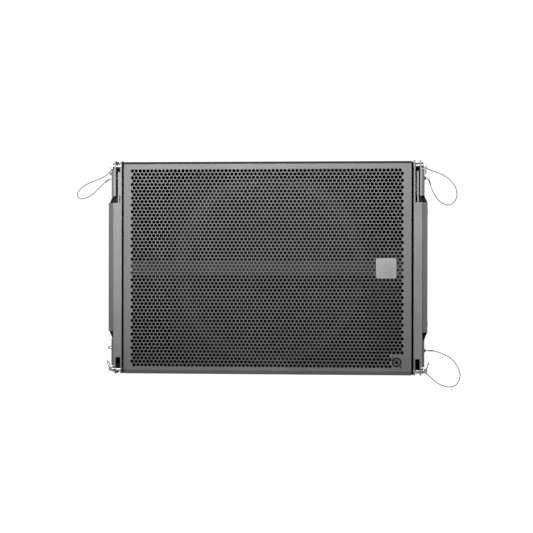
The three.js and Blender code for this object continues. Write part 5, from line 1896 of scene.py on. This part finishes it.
@dataclass(frozen=True)
class Lanyard:
    """Wire rope from an anchor on the cheek to the back of a pin's head.

    Attributes:
        level: Which pin.
        side: Which side.
        points: [out, back from the pin's axis, up from the pin's axis] of each point
            between the anchor and the head.
    """

    level: Level
    side: Side
    points: tuple[tuple[float, float, float], ...]

    radius = 1.0
    anchor_behind = 18.0

    @property
    def anchor_z(self) -> float:
        """Height of the anchor."""
        return -40.0 if self.level is Level.TOP else ENV.bottom + 59.0

    def path(self) -> list[Vector]:
        """The rope's centreline, smoothed through its points, evenly spaced."""
        start = (RIG.cheek + RIG.cheek_thin + 4.6, self.anchor_behind, self.anchor_z - PIN_Z[self.level])
        ends = ((RIG.head + 3.0, 9.8, 0.0), (RIG.head + 3.0, 6.8, 0.0))
        knots = [
            Vector((self.side.value * (ENV.half_width + o), PIN_Y + b, PIN_Z[self.level] + u)) for o, b,
            u in (start, *self.points, *ends)
        ]
        fine = catmull_rom(knots, 14)
        return evenly(fine, 150)

    def build(self, shop: Paintshop) -> None:
        """Build the rope, both crimps and both end loops."""
        word = f"{self.level.value}_{{}}_{self.side.name.lower()}"
        pin_body = f"{self.level.value}_pin_front_{self.side.name.lower()}"
        path = self.path()
        rope = tube(word.format("rope"), path, self.radius - 0.03)
        smooth(rope, 60)
        shop.dress(rope, "rope")
        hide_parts(word.format("lanyard"))
        head = path[-1]
        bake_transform(rope)
        near = self._crimp(word.format("anchor_crimp"), path, 3.5, 19.0)
        far = self._crimp(word.format("pin_crimp"), path[::-1], 4.5, 20.0)
        post = Vector((self.side.value * (ENV.half_width + RIG.cheek + RIG.cheek_thin + 2.9),
            PIN_Y + self.anchor_behind, self.anchor_z))
        eye = hoop(word.format("anchor_loop"), post, Vector((0, 1, 0)), Vector((0, 0, 1)), 3.5, 0.75, 40)
        grip = hoop(
            word.format("head_loop"), Vector((head.x, PIN_Y, PIN_Z[self.level])), Vector((0, 1, 0)),
            Vector((0, 0, 1)), 7.0, 0.8, 48
        )
        pieces = [
            (near, "crimp", "cabinet"), (far, "crimp", pin_body), (smooth(eye, 60), "rope_end", "cabinet"),
            (smooth(grip, 60), "rope_end", pin_body)
        ]
        for piece, finish, body in pieces:
            shop.deliver(piece, finish, body)
        self._anchor(shop)

    def _crimp(self, name: str, path: Sequence[Vector], start: float, end: float) -> bpy.types.Object:
        """A sleeve pressed on the rope between two lengths along it."""
        kept, passed = [], 0.0
        for a, b in zip(path, path[1:]):
            passed += (b - a).length
            if start <= passed <= end:
                kept.append(b)
        sleeve = tube(
            name, evenly(kept, 14), 1.55, 14, lambda share: 0.86 + 0.14 * min(1.0, 9 * min(share, 1 - share))
        )
        return smooth(sleeve, 50)

    def _anchor(self, shop: Paintshop) -> None:
        """Eyelet screw that holds the rope's fixed end."""
        x0 = RIG.cheek + RIG.cheek_thin + 0.3
        y, z = PIN_Y + self.anchor_behind, self.anchor_z
        profile = [
            (0, x0), (4.2, x0), (4.5, x0 + 0.3), (4.5, x0 + 1.2), (4.1, x0 + 1.6), (2.25, x0 + 1.9),
            (2.25, x0 + 3.4), (1.9, x0 + 4), (0, x0 + 4)
        ]
        shape = lathe(profile, "x", (ENV.half_width, y, z), 32, "anchor")
        node = f"{self.level.value}_anchor_{self.side.name.lower()}"
        piece = smooth(mirrored(shape, f"{node}_screw", self.side, End.FRONT))
        discard(shape)
        shop.deliver(piece, "bright", replaces=[node])


def catmull_rom(knots: Sequence[Vector], steps: int) -> list[Vector]:
    """A centripetal curve through points, its ends reflected.

    Args:
        knots: Points to pass through.
        steps: Points between each pair.

    Returns:
        The curve's points.
    """
    padded = [knots[0] * 2 - knots[1], *knots, knots[-1] * 2 - knots[-2]]
    made = []
    for p0, p1, p2, p3 in zip(padded, padded[1:], padded[2:], padded[3:]):
        t1 = math.sqrt((p1 - p0).length)
        t2 = t1 + math.sqrt((p2 - p1).length)
        t3 = t2 + math.sqrt((p3 - p2).length)
        for i in range(steps):
            t = t1 + (t2 - t1) * i / steps
            a1 = p0 * ((t1 - t) / t1) + p1 * (t / t1)
            a2 = p1 * ((t2 - t) / (t2 - t1)) + p2 * ((t - t1) / (t2 - t1))
            a3 = p2 * ((t3 - t) / (t3 - t2)) + p3 * ((t - t2) / (t3 - t2))
            b1 = a1 * ((t2 - t) / t2) + a2 * (t / t2)
            b2 = a2 * ((t3 - t) / (t3 - t1)) + a3 * ((t - t1) / (t3 - t1))
            made.append(b1 * ((t2 - t) / (t2 - t1)) + b2 * ((t - t1) / (t2 - t1)))
    return made + [knots[-1].copy()]


def evenly(path: Sequence[Vector], count: int) -> list[Vector]:
    """The same line with evenly spaced points."""
    lengths = [0.0]
    for a, b in zip(path, path[1:]):
        lengths.append(lengths[-1] + (b - a).length)
    made, k = [], 0
    for i in range(count):
        goal = lengths[-1] * i / (count - 1)
        while k < len(path) - 2 and lengths[k + 1] < goal:
            k += 1
        step = max(lengths[k + 1] - lengths[k], 1e-9)
        made.append(path[k].lerp(path[k + 1], min(1.0, (goal - lengths[k]) / step)))
    return made


LANYARDS = (
    Lanyard(Level.TOP, Side.RIGHT, (
        (38.5, 18, -30.6), (42.5, 18, -38), (46, 18, -50), (51, 18, -62), (57, 18, -73), (65, 18, -84),
        (75, 18, -91),
        (86, 18, -94), (96, 18, -92), (104, 18, -84), (108, 18, -72), (107, 18, -59), (102, 18, -47),
        (94, 18, -37),
        (84, 18, -28), (72, 18, -21), (60, 18, -16), (48, 18, -12), (38, 18, -8), (31, 16.5, -4),
        (27, 13, -1))),
    Lanyard(Level.TOP, Side.LEFT, (
        (38.5, 18, -30.5), (45, 18, -33), (54, 18, -40), (62, 18, -48), (71, 18, -57), (81, 18, -66),
        (92, 18, -73),
        (103, 18, -77), (113, 18, -77), (119, 18, -72), (119, 18, -64), (114, 18, -56), (105, 18, -48),
        (94, 18, -41),
        (82, 18, -36), (70, 18, -31), (58, 18, -26), (47, 18, -20), (38, 18, -12), (31, 16.5, -5),
        (27, 13, -1))),
    Lanyard(Level.BOTTOM, Side.RIGHT, (
        (39, 18, 48), (46, 18, 48), (56, 18, 46.5), (67, 18, 43.5), (78, 18, 39), (89, 18, 33), (99, 18, 25),
        (107, 18, 15),
        (113, 18, 4), (116, 18, -8), (115, 18, -20), (110, 18, -30), (101, 18, -37), (90, 18, -39),
        (79, 18, -37),
        (68, 18, -33), (57, 18, -26), (48, 18, -18), (39, 18, -10), (32, 16.5, -4), (27, 13, -1))),
    Lanyard(Level.BOTTOM, Side.LEFT, (
        (39, 19, 48.5), (42.5, 24, 50), (44, 32, 52), (44, 43, 53), (44, 55, 53), (44, 67, 51), (44, 79, 47),
        (44, 90, 41),
        (44, 98, 33), (44, 102, 23), (44, 101, 13), (44, 96, 4), (44, 88, -2), (43, 78, -6), (42, 67, -8),
        (40, 56, -9),
        (37, 45, -8), (34, 35, -6), (31, 26, -3.5), (28.5, 19, -1.5), (27, 14, -0.5))),
)


# ------------------------------------------------------------------ floor, light and camera


@dataclass
class Studio:
    """Pale floor, soft lamps and the camera."""

    floor_z: float = -1250.0
    sky_fill: float = 0.09
    sky_behind: float = 0.97
    camera_place: Point = (0.3, -3.95, -0.25)
    camera_turn: Point = (90 - 0.042, -0.087, 4.762)
    lens: float = 101.5

    def build(self) -> None:
        """Set the whole stage."""
        self._floor()
        self._world()
        self._spot((-0.4, -2.95, 0.8), (-0.09, -0.35, 0.15), 19.0, 2.4, 520.0)
        self._lamp("left side", (-2.6, 0.4, 1.0), (-0.4, 0.0, -0.25), 1.6, 1.6, 35.0)
        self._lamp("right side", (2.6, 0.4, 1.0), (0.4, 0.0, -0.25), 1.6, 1.6, 35.0)
        self._lamp("rear", (-0.6, 3.0, 1.2), (0.0, 0.35, -0.25), 2.0, 1.6, 60.0)
        self._camera()
        bpy.context.scene.view_settings.view_transform = "Standard"

    def _floor(self) -> None:
        mesh = bpy.data.meshes.new("floor")
        half, z = 9.0, self.floor_z * MM
        mesh.from_pydata(
            [(-half, -half, z), (half, -half, z), (half, half, z), (-half, half, z)], [], [(0, 1, 2, 3)]
        )
        floor = link_mesh("floor", mesh)
        paint = bpy.data.materials.new("pale floor")
        paint.use_nodes = True
        wire = Wiring(paint.node_tree)
        shader = paint.node_tree.nodes["Principled BSDF"]
        shader.inputs["Base Color"].default_value = (0.82, 0.82, 0.82, 1.0)
        shader.inputs["Roughness"].default_value = 0.9
        seen = wire.add("ShaderNodeLightPath").outputs["Is Camera Ray"]
        shader.inputs["Emission Color"].default_value = (1.0, 1.0, 1.0, 1.0)
        wire.feed(shader.inputs["Emission Strength"], wire.math("MULTIPLY", seen, 1.0))
        floor.data.materials.append(paint)

    def _world(self) -> None:
        world = bpy.data.worlds.new("studio")
        bpy.context.scene.world = world
        world.use_nodes = True
        wire = Wiring(world.node_tree)
        sky = world.node_tree.nodes["Background"]
        sky.inputs["Color"].default_value = (1.0, 1.0, 1.0, 1.0)
        seen = wire.add("ShaderNodeLightPath").outputs["Is Camera Ray"]
        wire.feed(sky.inputs["Strength"],
            wire.math("ADD", self.sky_fill, wire.math("MULTIPLY", seen, self.sky_behind)))

    def _lamp(self, name: str, place: Point, aim: Point, width: float, height: float, power: float) -> None:
        data = bpy.data.lights.new(name, "AREA")
        data.shape, data.size, data.size_y, data.energy = "RECTANGLE", width, height, power
        lamp = bpy.data.objects.new(name, data)
        bpy.context.scene.collection.objects.link(lamp)
        lamp.location = place
        lamp.rotation_euler = (Vector(aim) - Vector(place)).to_track_quat("-Z", "Y").to_euler()

    def _spot(self, place: Point, aim: Point, half_angle: float, stretch: float, power: float) -> None:
        """Soft-edged key light, wider than it is tall, that fades towards the cabinet's foot."""
        data = bpy.data.lights.new("key", "SPOT")
        data.energy, data.shadow_soft_size = power, 0.28
        data.spot_size, data.spot_blend = math.radians(2 * half_angle), 1.0
        lamp = bpy.data.objects.new("key", data)
        bpy.context.scene.collection.objects.link(lamp)
        lamp.location = place
        lamp.rotation_euler = (Vector(aim) - Vector(place)).to_track_quat("-Z", "Y").to_euler()
        lamp.scale = (stretch, 1.0, 1.0)

    def _camera(self) -> None:
        data = bpy.data.cameras.new("camera")
        data.lens, data.sensor_width = self.lens, 36.0
        data.clip_start, data.clip_end = 0.05, 60.0
        camera = bpy.data.objects.new("camera", data)
        bpy.context.scene.collection.objects.link(camera)
        camera.location = self.camera_place
        camera.rotation_euler = [math.radians(turn) for turn in self.camera_turn]
        bpy.context.scene.camera = camera


def main() -> None:
    """Build every piece and report it."""
    logging.basicConfig(level=logging.INFO, format="%(message)s")
    Studio().build()
    shop = Paintshop()
    fasteners = Fasteners(shop)
    shell = CabinetShell()
    shell.build(shop)
    shell.screws(fasteners)
    Grille().build(shop)
    Badge().build(shop)
    FrontSocket().build(shop, fasteners)
    InputPanel().build(shop, fasteners)
    Woofer().build(shop, fasteners)
    SidePieces().build(shop, fasteners)
    RigCorner().build(shop)
    for lanyard in LANYARDS:
        lanyard.build(shop)
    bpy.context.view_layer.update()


if __name__ == "__main__":
    main()
